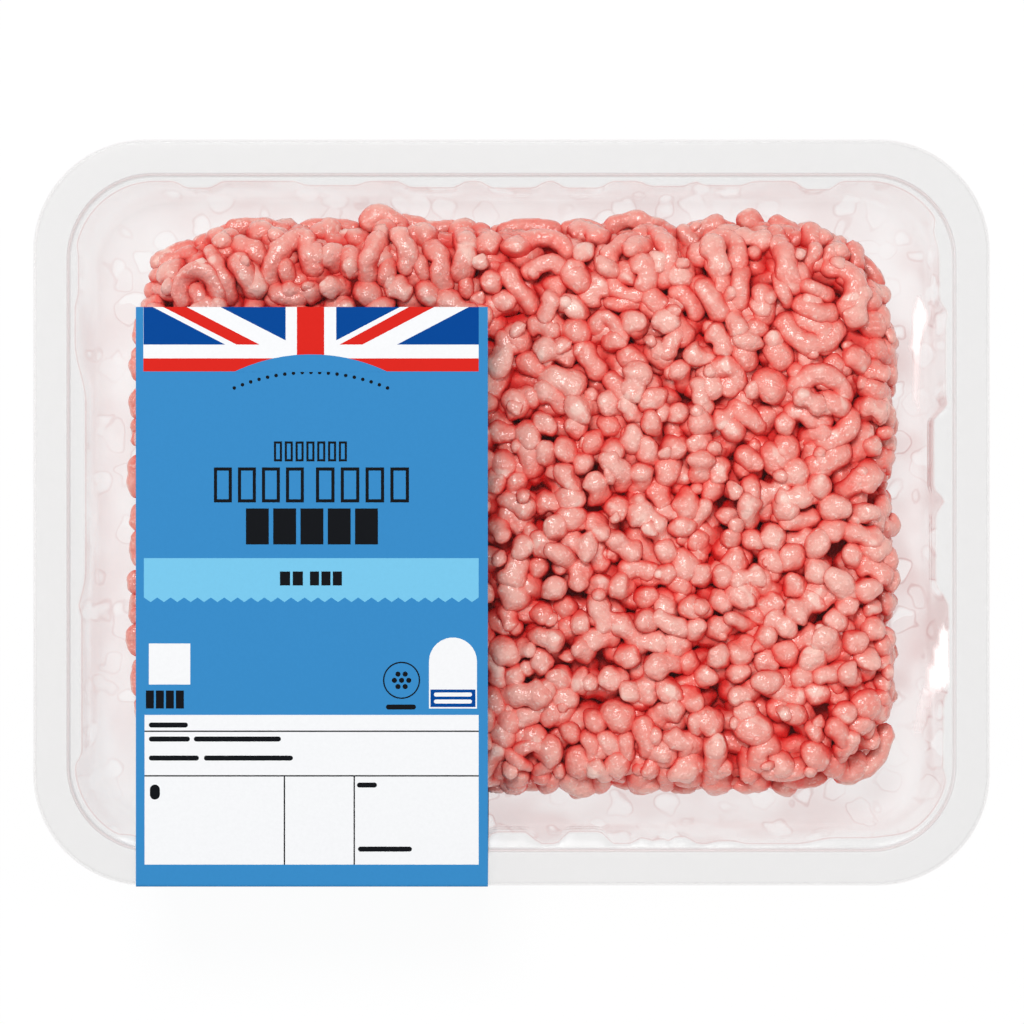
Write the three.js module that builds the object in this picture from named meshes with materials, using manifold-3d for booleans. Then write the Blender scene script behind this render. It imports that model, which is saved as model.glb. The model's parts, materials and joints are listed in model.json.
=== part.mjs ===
// A sealed retail tray of pork mince: a clear thermoformed tray with a flat rim, a heap of mince strands in it,
// a clear film sealed across the rim, and a printed label that wraps over the film, down the front and under the base.
// Millimetres, +Z up, +Y away from the label's wrapped edge, origin at the centre of the underside.
import * as THREE from "three";
import { mergeVertices } from "three/addons/utils/BufferGeometryUtils.js";
import Module from "manifold-3d";

const wasm = await Module();
wasm.setup();

// ---- Driving dimensions ----

// Tray: plan outline of the rim, overall height and sheet thickness.
const RIM_LENGTH = 227;
const RIM_WIDTH = 177;
const RIM_CORNER_RADIUS = 26.5;
const CORNER_TIGHTENING = 0.75; // how much the corner radius loses for each millimetre of inset
const RIM_TOP_Z = 44.5;
const SHEET = 0.5;
const FLANGE_WIDTH = 8.5;
const SKIRT_DROP = 2.5; // the rim's outer edge turns down by this
const EDGE_RADIUS = 1;
const SHOULDER_INSET = 10; // a narrow ledge runs round the inside, just under the flange
const SHOULDER_DROP = 2.4;
const WALL_DRAFT = THREE.MathUtils.degToRad(4.5);
const FOOT_RADIUS = 8;

// Film and label, each one thickness of sheet.
const FILM_THICKNESS = 0.25;
const FILM_EDGE_INSET = 0.5;
const LABEL_THICKNESS = 0.25;
const LABEL_LEFT_X = -89;
const LABEL_WIDTH = 83.4;
const LABEL_BACK_Y = 48.7;
const LABEL_UNDER_END_Y = 25;
const LABEL_FOLD_RADIUS = 0.5;
const LABEL_FOOT_RADIUS = 9;
const LABEL_FOOT_SLACK = 0.2;

// Mince: the block that the strands make up, and the strands themselves.
const MINCE_LENGTH = 178;
const MINCE_WIDTH = 133;
const MINCE_HEIGHT = 27;
const MINCE_CENTRE = new THREE.Vector2(1.4, 1.2);
const MINCE_CORNER_RADIUS = 25;
const MINCE_TOP_RADIUS = 10;
const MINCE_TUCK = 4; // the foot of the block draws in by this, over TUCK_HEIGHT
const TUCK_HEIGHT = 6;
const ROW_PITCH = 6; // spacing of the rows that the strands lie in, which is a strand's width
const ROW_LIFT = { valley: -1.9, crown: 0.6 }; // off the heap's surface, between two strands and along one
const ROW_JITTER = 0.6;
const BREAK_DIP = 2.4; // where one strand ends and the next begins
const BREAK_CHANCE = 0.34;
const ROW_SWAY = 4.5; // the rows on top snake to and fro by this
const TOP_STEP = 8.5; // distance along a row between the points that shape it
const TOP_DEPTH = 12;
const TOP_INSET = 2.6;
const SIDE_STEP = 10;
const SIDE_ROWS = 4;
const SIDE_HEIGHT = 23.5;
const STRAND_RADIUS = 2.9;
const STRAND_SWELL = [0.88, 1.12]; // a strand is lumpy: each ring takes a share of the radius
const STRAND_SIDES = 5;
const STRAND_STEP = { curl: 5, other: 7 }; // distance between the rings of a strand
const STRAND_END_SHARE = 0.62; // the last ring's share of the full radius
const CROSSING_STRANDS = { columns: 5, rows: 3, length: [15, 22], bend: 1.2 };
const HANGING_STRANDS = { spacing: 70, onTop: 11, down: 14 };
const RANDOM_SEED = 52763;

// The loops that lie on top, largest first: centre x, y, loop radius, start angle and sweep in degrees.
const CURLS = [
  [32.4, 56.5, 7.6, 120, -300],
  [74.3, 26.7, 7.4, 200, -260],
  [71.2, 45.2, 7.0, 150, 250],
  [81.5, -24.0, 9.0, 80, -150],
  [7.9, 56.0, 6.6, 30, 280],
  [53.0, 58.7, 5.6, -20, 210],
  [72.0, -21.0, 6.4, 140, 240],
  [-50.0, 58.0, 6.0, 200, -230],
  [-75.0, 51.0, 5.4, 200, -200],
  [46.0, 14.0, 6.4, 250, -180],
  [20.0, -46.0, 6.2, 60, 200],
];

const FLOOR_BOTTOM_Z = LABEL_THICKNESS;
const FLOOR_TOP_Z = FLOOR_BOTTOM_Z + SHEET;
const FILM_BOTTOM_Z = RIM_TOP_Z;
const FILM_TOP_Z = FILM_BOTTOM_Z + FILM_THICKNESS;

// ---- Small tools ----

// A repeatable random number source, from 0 up to 1.
function randomSource(seed) {
  let state = seed;
  return () => {
    state = (state * 1664525 + 1013904223) % 4294967296;
    return state / 4294967296;
  };
}
const random = randomSource(RANDOM_SEED);
const between = ([low, high]) => low + (high - low) * random();

function geometryFrom(vertices, triangles) {
  const geometry = new THREE.BufferGeometry();
  geometry.setAttribute("position", new THREE.Float32BufferAttribute(vertices.flatMap((p) => p.toArray()), 3));
  geometry.setIndex(triangles.flat());
  geometry.computeVertexNormals();
  return geometry;
}

function withoutExtras(geometry) {
  const bare = geometry.clone();
  bare.deleteAttribute("normal");
  bare.deleteAttribute("uv");
  return bare;
}

// A closed skin through loops of equally many points, with a fan over the first loop and the last.
function loftLoops(loops, firstPole, lastPole) {
  const count = loops[0].length;
  const vertices = [...loops.flat(), firstPole, lastPole];
  const first = vertices.length - 2;
  const last = vertices.length - 1;
  const top = (loops.length - 1) * count;
  const triangles = [];
  for (let i = 0; i < count; i++) {
    const next = (i + 1) % count;
    triangles.push([first, next, i], [last, top + i, top + next]);
    for (let level = 0; level + 1 < loops.length; level++) {
      const a = level * count;
      const b = a + count;
      triangles.push([a + i, a + next, b + next], [a + i, b + next, b + i]);
    }
  }
  return geometryFrom(vertices, triangles);
}

// The rim's outline, drawn in by inset, at height z: four arcs, anticlockwise seen from above.
function rimLoop(inset, z, cornerSteps = 7) {
  const radius = RIM_CORNER_RADIUS - CORNER_TIGHTENING * inset;
  const cornerX = RIM_LENGTH / 2 - inset - radius;
  const cornerY = RIM_WIDTH / 2 - inset - radius;
  const loop = [];
  for (let corner = 0; corner < 4; corner++) {
    const signX = corner === 0 || corner === 3 ? 1 : -1;
    const signY = corner < 2 ? 1 : -1;
    for (let step = 0; step <= cornerSteps; step++) {
      const angle = (Math.PI / 2) * (corner + step / cornerSteps);
      const x = signX * cornerX + radius * Math.cos(angle);
      const y = signY * cornerY + radius * Math.sin(angle);
      loop.push(new THREE.Vector3(x, y, z));
    }
  }
  return loop;
}

function named(name, geometry, material) {
  const mesh = new THREE.Mesh(geometry, material);
  mesh.name = name;
  return mesh;
}

// ---- Tray ----

const wallTopZ = RIM_TOP_Z - SHOULDER_DROP;
const footTopZ = FLOOR_BOTTOM_Z + FOOT_RADIUS;
const wallFootInset = SHOULDER_INSET - SHEET + (wallTopZ - footTopZ) * Math.tan(WALL_DRAFT);

// The quarter turn from the floor up into the wall, as [inset, z] pairs from the floor outwards.
function footArc(radius, steps = 5) {
  const centreInset = wallFootInset + FOOT_RADIUS;
  return Array.from({ length: steps + 1 }, (_, i) => {
    const angle = ((Math.PI / 2) * i) / steps;
    return [centreInset - radius * Math.sin(angle), footTopZ - radius * Math.cos(angle)];
  });
}

// The rounded outer edge of the rim, as [inset, z] pairs from the skirt up onto the flange.
function rimEdge(steps = 2) {
  return Array.from({ length: steps + 1 }, (_, i) => {
    const angle = ((Math.PI / 2) * i) / steps;
    return [EDGE_RADIUS * (1 - Math.cos(angle)), RIM_TOP_Z - EDGE_RADIUS * (1 - Math.sin(angle))];
  });
}

function makeTray() {
  const underside = [
    ...footArc(FOOT_RADIUS),
    [SHOULDER_INSET - SHEET, wallTopZ - SHEET],
    [FLANGE_WIDTH - SHEET, wallTopZ],
    [FLANGE_WIDTH - SHEET, RIM_TOP_Z - SHEET],
    [EDGE_RADIUS, RIM_TOP_Z - SHEET],
    [SHEET, RIM_TOP_Z - EDGE_RADIUS],
    [SHEET, RIM_TOP_Z - SKIRT_DROP],
    [0, RIM_TOP_Z - SKIRT_DROP],
  ];
  const upperside = [
    ...rimEdge(),
    [FLANGE_WIDTH, RIM_TOP_Z],
    [FLANGE_WIDTH + SHEET / 2, wallTopZ + SHEET],
    [SHOULDER_INSET, wallTopZ],
    ...footArc(FOOT_RADIUS - SHEET).reverse(),
  ];
  const loops = [...underside, ...upperside].map(([inset, z]) => rimLoop(inset, z));
  return loftLoops(loops, new THREE.Vector3(0, 0, FLOOR_BOTTOM_Z), new THREE.Vector3(0, 0, FLOOR_TOP_Z));
}

// ---- Film ----

function makeFilm() {
  const loops = [FILM_BOTTOM_Z, FILM_TOP_Z].map((z) => rimLoop(FILM_EDGE_INSET, z));
  return loftLoops(loops, new THREE.Vector3(0, 0, FILM_BOTTOM_Z), new THREE.Vector3(0, 0, FILM_TOP_Z));
}

// ---- Label ----

// The label's inner face in side view, from its back edge on the film, over the rim, down to the foot and under.
function labelPath() {
  const frontY = -RIM_WIDTH / 2;
  const footY = frontY + wallFootInset + FOOT_RADIUS - LABEL_FOOT_SLACK;
  const footZ = FLOOR_BOTTOM_Z + LABEL_FOOT_RADIUS;
  const skirtZ = RIM_TOP_Z - SKIRT_DROP;
  const path = new THREE.Path();
  path.moveTo(LABEL_BACK_Y, FILM_TOP_Z);
  path.lineTo(frontY + LABEL_FOLD_RADIUS, FILM_TOP_Z);
  path.absarc(frontY + LABEL_FOLD_RADIUS, FILM_TOP_Z - LABEL_FOLD_RADIUS, LABEL_FOLD_RADIUS, Math.PI / 2, Math.PI);
  path.lineTo(frontY, skirtZ);
  // The straight run from the skirt meets the foot's arc where the two are tangent.
  const reach = Math.hypot(footY - frontY, skirtZ - footZ);
  const heading = Math.atan2(skirtZ - footZ, frontY - footY);
  const tangent = heading + Math.acos(LABEL_FOOT_RADIUS / reach);
  path.absarc(footY, footZ, LABEL_FOOT_RADIUS, tangent, (3 * Math.PI) / 2);
  path.lineTo(LABEL_UNDER_END_Y, FLOOR_BOTTOM_Z);
  return path.getPoints(8).filter((p, i, all) => i === 0 || p.distanceTo(all[i - 1]) > 1e-6);
}

// The same line moved sideways by the label's thickness, mitred at each bend.
function offsetLine(points, distance) {
  return points.map((point, i) => {
    const before = points[Math.max(i - 1, 0)];
    const after = points[Math.min(i + 1, points.length - 1)];
    const normalIn = point.clone().sub(before).normalize();
    const normalOut = after.clone().sub(point).normalize();
    const usable = [normalIn, normalOut].filter((v) => v.lengthSq() > 0).map((v) => new THREE.Vector2(v.y, -v.x));
    const mitre = usable.reduce((sum, v) => sum.add(v), new THREE.Vector2()).normalize();
    return point.clone().addScaledVector(mitre, distance / mitre.dot(usable[0]));
  });
}

function makeLabel() {
  const inner = labelPath();
  const outer = offsetLine(inner, LABEL_THICKNESS);
  const outline = new THREE.Shape([...inner, ...outer.reverse()]);
  const geometry = new THREE.ExtrudeGeometry(outline, { depth: LABEL_WIDTH, bevelEnabled: false });
  // The outline is drawn as (y, z) and extruded along x, so the three coordinates change places.
  const position = geometry.attributes.position;
  for (let i = 0; i < position.count; i++) {
    position.setXYZ(i, LABEL_LEFT_X + position.getZ(i), position.getX(i), position.getY(i));
  }
  geometry.computeVertexNormals();
  return geometry;
}

// ---- Mince ----

const halfLength = MINCE_LENGTH / 2;
const halfWidth = MINCE_WIDTH / 2;

// Two distances that meet in a square corner, drawn onto a round one: max(a, b) becomes the radius.
function roundOff(a, b) {
  const length = Math.hypot(a, b);
  const scale = length > 0 ? Math.max(Math.abs(a), Math.abs(b)) / length : 1;
  return [a * scale, b * scale];
}

const heapCentre = (z) => new THREE.Vector3(MINCE_CENTRE.x, MINCE_CENTRE.y, z);

// Gentle hollows and swells over the top of the heap, as a factor on its height.
function swell(x, y) {
  return 1 + 0.035 * Math.sin(x / 17 + 1.3) * Math.cos(y / 14) + 0.03 * Math.cos(x / 31 - y / 23);
}

// A point of the plain box, moved onto the heap: corners rounded in plan, top edge rounded, foot drawn in.
// lift is how far above the heap's surface the point then stands.
function heapPoint(x, y, z, lift = 0) {
  const innerX = THREE.MathUtils.clamp(x, MINCE_CORNER_RADIUS - halfLength, halfLength - MINCE_CORNER_RADIUS);
  const innerY = THREE.MathUtils.clamp(y, MINCE_CORNER_RADIUS - halfWidth, halfWidth - MINCE_CORNER_RADIUS);
  const [planX, planY] = roundOff(x - innerX, y - innerY);
  const outward = new THREE.Vector2(planX, planY).normalize();
  const edge = Math.min(halfLength - Math.abs(x), halfWidth - Math.abs(y));
  const overEdge = Math.max(MINCE_TOP_RADIUS - edge, 0);
  const overShoulder = Math.max(z - (MINCE_HEIGHT - MINCE_TOP_RADIUS), 0);
  const [across, up] = roundOff(overEdge, overShoulder);
  const lean = THREE.MathUtils.clamp(1 - z / TUCK_HEIGHT, 0, 1);
  const tuck = MINCE_TUCK * (1 - Math.sqrt(1 - lean * lean)) * (edge < 1e-6 ? 1 : 0);
  const away = new THREE.Vector2(across, up).normalize().multiplyScalar(lift);
  const inward = overEdge - across + tuck - away.x;
  const height = (z - overShoulder + up) * swell(x, y) + away.y;
  const spread = outward.lengthSq() > 0 ? inward : 0;
  return new THREE.Vector3(
    MINCE_CENTRE.x + innerX + planX - outward.x * spread,
    MINCE_CENTRE.y + innerY + planY - outward.y * spread,
    FLOOR_TOP_Z + height,
  );
}

// Where a point of a row stands off the heap, from its place across the row: the valley, or one of two crowns.
function rowLift(step, atBreak) {
  if (step % 3 === 0) return ROW_LIFT.valley;
  return ROW_LIFT.crown + between([-ROW_JITTER, ROW_JITTER]) - (atBreak ? BREAK_DIP : 0);
}

// How far across the rows a step lies: three steps to a row, the two crowns drawn a little together.
const rowShare = (step) => Math.floor(step / 3) + [0, 0.27, 0.73][step % 3];

// Marks, for each row and each place along it, whether one strand ends there and the next begins.
function strandBreaks(rows, places) {
  return Array.from({ length: rows + 1 }, () => Array.from({ length: places + 1 }, () => random() < BREAK_CHANCE));
}

// The top of the heap: a slab whose upper face is strands lying side by side, snaking a little.
function makeTopLayer() {
  const length = MINCE_LENGTH - 2 * TOP_INSET;
  const width = MINCE_WIDTH - 2 * TOP_INSET;
  const rows = Math.round(width / ROW_PITCH);
  const places = Math.round(length / TOP_STEP);
  const breaks = strandBreaks(rows, places);
  const slab = mergeVertices(withoutExtras(new THREE.BoxGeometry(length, width, TOP_DEPTH, places, rows * 3, 1)), 1e-3);
  const position = slab.attributes.position;
  for (let i = 0; i < position.count; i++) {
    const x = position.getX(i);
    const place = Math.round((x / length + 0.5) * places);
    const step = Math.round((position.getY(i) / width + 0.5) * rows * 3);
    const y = (rowShare(step) / rows - 0.5) * width;
    const onTop = position.getZ(i) > 0;
    const inside = place > 0 && place < places && step > 0 && step < rows * 3;
    const fade = 1 - Math.min(1, Math.abs(y) / halfWidth) ** 2;
    const sway = ROW_SWAY * fade * Math.sin(x / 17 + y / 29) + (inside ? between([-0.5, 0.5]) : 0);
    const lift = onTop ? rowLift(step, breaks[Math.floor(step / 3)][place]) : 0;
    const z = MINCE_HEIGHT - (onTop ? 0 : TOP_DEPTH);
    const point = heapPoint(x + (inside ? between([-1.2, 1.2]) : 0), y + sway, z, inside ? lift : 0);
    position.setXYZ(i, ...point.toArray());
  }
  return slab;
}

// A point on the square outline of the plain box, measured anticlockwise from the middle of its right side.
function outlinePoint(along) {
  const sides = [
    [halfLength, 0, 0, 1, halfWidth],
    [halfLength, halfWidth, -1, 0, MINCE_LENGTH],
    [-halfLength, halfWidth, 0, -1, MINCE_WIDTH],
    [-halfLength, -halfWidth, 1, 0, MINCE_LENGTH],
    [halfLength, -halfWidth, 0, 1, halfWidth],
  ];
  let left = along;
  for (const [x, y, stepX, stepY, length] of sides) {
    if (left <= length) return [x + stepX * left, y + stepY * left];
    left -= length;
  }
  return [halfLength, 0];
}

// The sides of the heap: strands lying round it, one row above the other, with flat caps inside and underneath.
function makeSides() {
  const perimeter = 2 * (MINCE_LENGTH + MINCE_WIDTH);
  const places = Math.round(perimeter / SIDE_STEP);
  const breaks = strandBreaks(SIDE_ROWS, places);
  const loops = [];
  for (let step = 0; step <= SIDE_ROWS * 3; step++) {
    const z = (rowShare(step) / SIDE_ROWS) * SIDE_HEIGHT;
    const loop = [];
    for (let place = 0; place < places; place++) {
      const [x, y] = outlinePoint((place / places) * perimeter);
      const lift = rowLift(step, breaks[Math.floor(step / 3)][place]);
      const wander = step > 0 ? between([-0.5, 0.5]) : 0;
      loop.push(heapPoint(x, y, z + wander, lift));
    }
    loops.push(loop);
  }
  loops[0].forEach((p) => p.setZ(FLOOR_TOP_Z));
  const middle = loops.at(-1).reduce((sum, p) => sum + p.z, 0) / places;
  return loftLoops(loops, heapCentre(FLOOR_TOP_Z), heapCentre(middle - 3));
}

// One strand: rings along a curve, narrower at both ends, with a pole closing each end.
function strandAlong(points, step) {
  const radius = STRAND_RADIUS;
  const curve = new THREE.CatmullRomCurve3(points);
  const steps = Math.max(3, Math.round(curve.getLength() / step));
  const frames = curve.computeFrenetFrames(steps);
  const loops = [];
  for (let i = 0; i <= steps; i++) {
    const middle = curve.getPointAt(i / steps);
    const share = i === 0 || i === steps ? STRAND_END_SHARE : between(STRAND_SWELL);
    const loop = [];
    for (let side = 0; side < STRAND_SIDES; side++) {
      const angle = (2 * Math.PI * side) / STRAND_SIDES;
      const across = frames.normals[i].clone().multiplyScalar(Math.cos(angle));
      across.addScaledVector(frames.binormals[i], Math.sin(angle));
      loop.push(middle.clone().addScaledVector(across, radius * share));
    }
    loops.push(loop);
  }
  const poleDistance = radius * STRAND_END_SHARE;
  const firstPole = curve.getPointAt(0).addScaledVector(frames.tangents[0], -poleDistance);
  const lastPole = curve.getPointAt(1).addScaledVector(frames.tangents[steps], poleDistance);
  return loftLoops(loops, firstPole, lastPole);
}

// A loop that lies on the heap, both ends dipping into it.
function curlPath([x, y, loopRadius, startDegrees, sweepDegrees]) {
  const count = 7;
  return Array.from({ length: count }, (_, i) => {
    const share = i / (count - 1);
    const angle = THREE.MathUtils.degToRad(startDegrees + sweepDegrees * share);
    const px = x - MINCE_CENTRE.x + loopRadius * Math.cos(angle);
    const py = y - MINCE_CENTRE.y + loopRadius * Math.sin(angle);
    return heapPoint(px, py, MINCE_HEIGHT, 2.6 * Math.sin(Math.PI * share) - 0.4);
  });
}

// Shorter strands that lie across the rows on top.
function crossingPaths() {
  const { columns, rows, length, bend } = CROSSING_STRANDS;
  const paths = [];
  for (let column = 0; column < columns; column++) {
    for (let row = 0; row < rows; row++) {
      const x = ((column + 0.2 + 0.6 * random()) / columns - 0.5) * MINCE_LENGTH * 0.86;
      const y = ((row + 0.2 + 0.6 * random()) / rows - 0.5) * MINCE_WIDTH * 0.8;
      const half = between(length) / 2;
      const heading = between([0.25, 0.75]) * Math.PI;
      const turn = between([-bend, bend]);
      const path = [-1, -0.35, 0.35, 1].map((share) => {
        const angle = heading + turn * share;
        const px = x + half * share * Math.cos(angle);
        const py = y + half * share * Math.sin(angle);
        return heapPoint(px, py, MINCE_HEIGHT, 1.5 - 2.6 * share * share);
      });
      paths.push(path);
    }
  }
  return paths;
}

// Strands that hang over the edge of the heap and down its side.
function hangingPaths() {
  const { spacing, onTop, down } = HANGING_STRANDS;
  const perimeter = 2 * (MINCE_LENGTH + MINCE_WIDTH);
  const count = Math.round(perimeter / spacing);
  return Array.from({ length: count }, (_, i) => {
    const along = ((i + 0.2 + 0.6 * random()) / count) * perimeter;
    const wander = between([-3, 3]);
    const at = (shift, inward, z, lift) => {
      const [x, y] = outlinePoint(THREE.MathUtils.clamp(along + shift, 0, perimeter));
      const shrink = 1 - inward / halfWidth;
      return heapPoint(x * shrink, y * shrink, z, lift);
    };
    return [
      at(-wander, onTop, MINCE_HEIGHT, -1.6),
      at(0, onTop / 3, MINCE_HEIGHT, 0.7),
      at(wander, 0, MINCE_HEIGHT - down / 2, 0.7),
      at(0, 0, MINCE_HEIGHT - down, -1.6),
    ];
  });
}

function solidOf(geometry) {
  const merged = mergeVertices(withoutExtras(geometry), 1e-4);
  const triVerts = new Uint32Array(merged.index.array);
  return new wasm.Manifold(new wasm.Mesh({ numProp: 3, vertProperties: merged.attributes.position.array, triVerts }));
}

// The outer skin of a solid: pockets of air closed in between strands are filled by leaving their skins out.
function outerSkinOf(solid) {
  const { vertProperties, triVerts } = solid.getMesh();
  const parent = Array.from({ length: vertProperties.length / 3 }, (_, i) => i);
  const rootOf = (i) => {
    while (parent[i] !== i) i = parent[i] = parent[parent[i]];
    return i;
  };
  for (let i = 0; i < triVerts.length; i += 3) {
    parent[rootOf(triVerts[i + 1])] = rootOf(triVerts[i]);
    parent[rootOf(triVerts[i + 2])] = rootOf(triVerts[i]);
  }
  const skins = new Map();
  for (let i = 0; i < triVerts.length; i += 3) {
    const root = rootOf(triVerts[i]);
    if (!skins.has(root)) skins.set(root, []);
    skins.get(root).push(triVerts[i], triVerts[i + 1], triVerts[i + 2]);
  }
  const outer = [...skins.values()].sort((a, b) => b.length - a.length)[0];
  const geometry = new THREE.BufferGeometry();
  geometry.setAttribute("position", new THREE.BufferAttribute(vertProperties, 3));
  geometry.setIndex(outer);
  geometry.computeVertexNormals();
  return geometry;
}

function makeMince() {
  const curls = CURLS.map((curl) => strandAlong(curlPath(curl), STRAND_STEP.curl));
  const others = [...crossingPaths(), ...hangingPaths()].map((path) => strandAlong(path, STRAND_STEP.other));
  const heap = solidOf(makeSides()).add(solidOf(makeTopLayer()));
  return outerSkinOf([...curls, ...others].reduce((joined, strand) => joined.add(solidOf(strand)), heap));
}

// ---- The pack ----

const clearPlastic = new THREE.MeshStandardMaterial({
  color: 0xeeecec,
  roughness: 0.12,
  metalness: 0,
  transparent: true,
  opacity: 0.35,
});
const clearFilm = new THREE.MeshStandardMaterial({
  color: 0xf6f6f6,
  roughness: 0.06,
  metalness: 0,
  transparent: true,
  opacity: 0.15,
});
const printedPaper = new THREE.MeshStandardMaterial({ color: 0x3b8fcd, roughness: 0.45, metalness: 0 });
const rawMince = new THREE.MeshStandardMaterial({ color: 0xe48579, roughness: 0.35, metalness: 0 });

const pack = new THREE.Group();
pack.add(
  named("tray", makeTray(), clearPlastic),
  named("mince", makeMince(), rawMince),
  named("lid_film", makeFilm(), clearFilm),
  named("label", makeLabel(), printedPaper),
);

export default pack;
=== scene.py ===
# %% [markdown]
# # A sealed tray of mince
#
# This lesson dresses a simple solid model of a supermarket pack: a clear tray with a flat rim, a heap of
# minced meat, a clear film sealed over it and a printed paper label that wraps round the front. The solid
# model gives the sizes. Each step below makes one real thing, says how else it could be done, and why this
# way was chosen.

import bmesh
import bpy
import json
import math
import numpy as np
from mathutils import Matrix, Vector, noise
from mathutils.bvhtree import BVHTree
from mathutils.geometry import tessellate_polygon

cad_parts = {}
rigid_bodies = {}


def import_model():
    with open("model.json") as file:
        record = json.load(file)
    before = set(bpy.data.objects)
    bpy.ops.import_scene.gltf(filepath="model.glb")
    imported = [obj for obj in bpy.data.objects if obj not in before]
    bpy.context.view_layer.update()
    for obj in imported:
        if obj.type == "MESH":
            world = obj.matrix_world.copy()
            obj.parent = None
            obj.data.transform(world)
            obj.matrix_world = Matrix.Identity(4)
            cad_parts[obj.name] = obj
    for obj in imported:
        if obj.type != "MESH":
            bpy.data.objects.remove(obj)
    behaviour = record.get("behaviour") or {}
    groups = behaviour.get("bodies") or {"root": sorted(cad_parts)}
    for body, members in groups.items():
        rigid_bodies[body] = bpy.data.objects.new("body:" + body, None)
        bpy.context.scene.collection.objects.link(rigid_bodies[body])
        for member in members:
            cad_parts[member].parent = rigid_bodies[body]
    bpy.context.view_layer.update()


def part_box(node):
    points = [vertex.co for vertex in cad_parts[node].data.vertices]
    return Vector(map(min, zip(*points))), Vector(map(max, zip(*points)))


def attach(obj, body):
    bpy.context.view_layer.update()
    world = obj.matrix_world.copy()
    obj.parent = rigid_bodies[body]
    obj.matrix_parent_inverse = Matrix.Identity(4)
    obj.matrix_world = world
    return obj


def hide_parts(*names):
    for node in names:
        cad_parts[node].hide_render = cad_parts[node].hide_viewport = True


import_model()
mm = 0.001
scene = bpy.context.scene
tray_low, tray_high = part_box("tray")
label_low, label_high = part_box("label")
film_low, film_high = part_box("lid_film")
print("rim", [round((tray_high[i] - tray_low[i]) / mm, 1) for i in range(3)], "mm")

# %% [markdown]
# The photo was taken from straight above, so the camera looks down along Z with the top of the picture
# towards +Y. A long distance keeps the walls from leaning outwards. A camera could also be orthographic,
# but a real lens at 1.2 metres shows a little of the inside of each wall, as the photo does.

# %% Camera
CAMERA_HEIGHT = 1.2
FRAME_WIDTH = 242.7 * mm
SENSOR_WIDTH = 36
lens_data = bpy.data.cameras.new("straight_down")
lens_data.sensor_width = SENSOR_WIDTH
lens_data.lens = SENSOR_WIDTH * (CAMERA_HEIGHT - tray_high.z) / FRAME_WIDTH
lens_data.clip_start = 0.05
camera = bpy.data.objects.new("straight_down", lens_data)
camera.location = (0.12 * mm, 0.12 * mm, CAMERA_HEIGHT)
scene.collection.objects.link(camera)
scene.camera = camera
print("lens", round(lens_data.lens, 1), "mm")

# %% [markdown]
# A pack shot on white is often taken on a light table: the table glows, so the pack has no shadow and clear
# plastic stays bright. A large lamp high behind the pack gives the meat its form and its small wet glints,
# and the white room fills in the rest. With the room alone every strand would look flat.

# %% Light and floor
scene.world = bpy.data.worlds.new("white_room")
scene.world.use_nodes = True
room = scene.world.node_tree.nodes["Background"].inputs
room["Color"].default_value = (1.0, 1.0, 1.0, 1)
room["Strength"].default_value = 0.28


def softbox(name, place, size, power):
    """A square lamp that faces the middle of the pack."""
    data = bpy.data.lights.new(name, "AREA")
    data.shape = "RECTANGLE"
    data.size, data.size_y = size
    data.energy = power
    lamp = bpy.data.objects.new(name, data)
    lamp.location = place
    aim = Vector((0, 0, 0.02)) - Vector(place)
    lamp.rotation_euler = aim.to_track_quat("-Z", "Y").to_euler()
    scene.collection.objects.link(lamp)


softbox("lamp_back", (-0.12, 0.52, 1.1), (0.5, 0.36), 8.6)
softbox("lamp_front", (0.1, -0.75, 0.9), (0.6, 0.2), 2.8)
softbox("lamp_right", (0.85, 0.0, 0.55), (0.15, 0.5), 1.2)
softbox("lamp_left", (-0.95, 0.05, 0.55), (0.2, 0.7), 2.2)

scene.view_settings.view_transform = "Standard"
scene.view_settings.look = "None"
scene.cycles.transparent_max_bounces = 12
scene.cycles.max_bounces = 4
scene.cycles.diffuse_bounces = 2
scene.cycles.glossy_bounces = 1
scene.cycles.transmission_bounces = 1
scene.cycles.use_light_tree = False


def feed(tree, made, feeds):
    """Fills a node's inputs, by name or number: with plain values, or from other nodes."""
    for key, value in feeds.items():
        if isinstance(value, bpy.types.Node):
            value = value.outputs[0]
        if isinstance(value, bpy.types.NodeSocket):
            tree.links.new(value, made.inputs[key])
        else:
            made.inputs[key].default_value = value


def make(tree, kind, feeds=None, **settings):
    """One node, with its settings and what goes into it."""
    made = tree.nodes.new(kind)
    for key, value in settings.items():
        setattr(made, key, value)
    feed(tree, made, feeds or {})
    return made


def new_material(name, feeds):
    """A material with one Principled shader, the shader's plain values, and the tree to add to."""
    material = bpy.data.materials.new(name)
    material.use_nodes = True
    shader = material.node_tree.nodes["Principled BSDF"]
    feed(material.node_tree, shader, feeds)
    return material, material.node_tree, shader


def mesh_object(name, vertices, faces, smooth=True):
    """A mesh from plain lists, at the origin."""
    data = bpy.data.meshes.new(name)
    data.from_pydata([tuple(v) for v in vertices], [], [tuple(f) for f in faces])
    data.validate()
    data.polygons.foreach_set("use_smooth", [smooth] * len(data.polygons))
    made = bpy.data.objects.new(name, data)
    scene.collection.objects.link(made)
    return made


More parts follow.
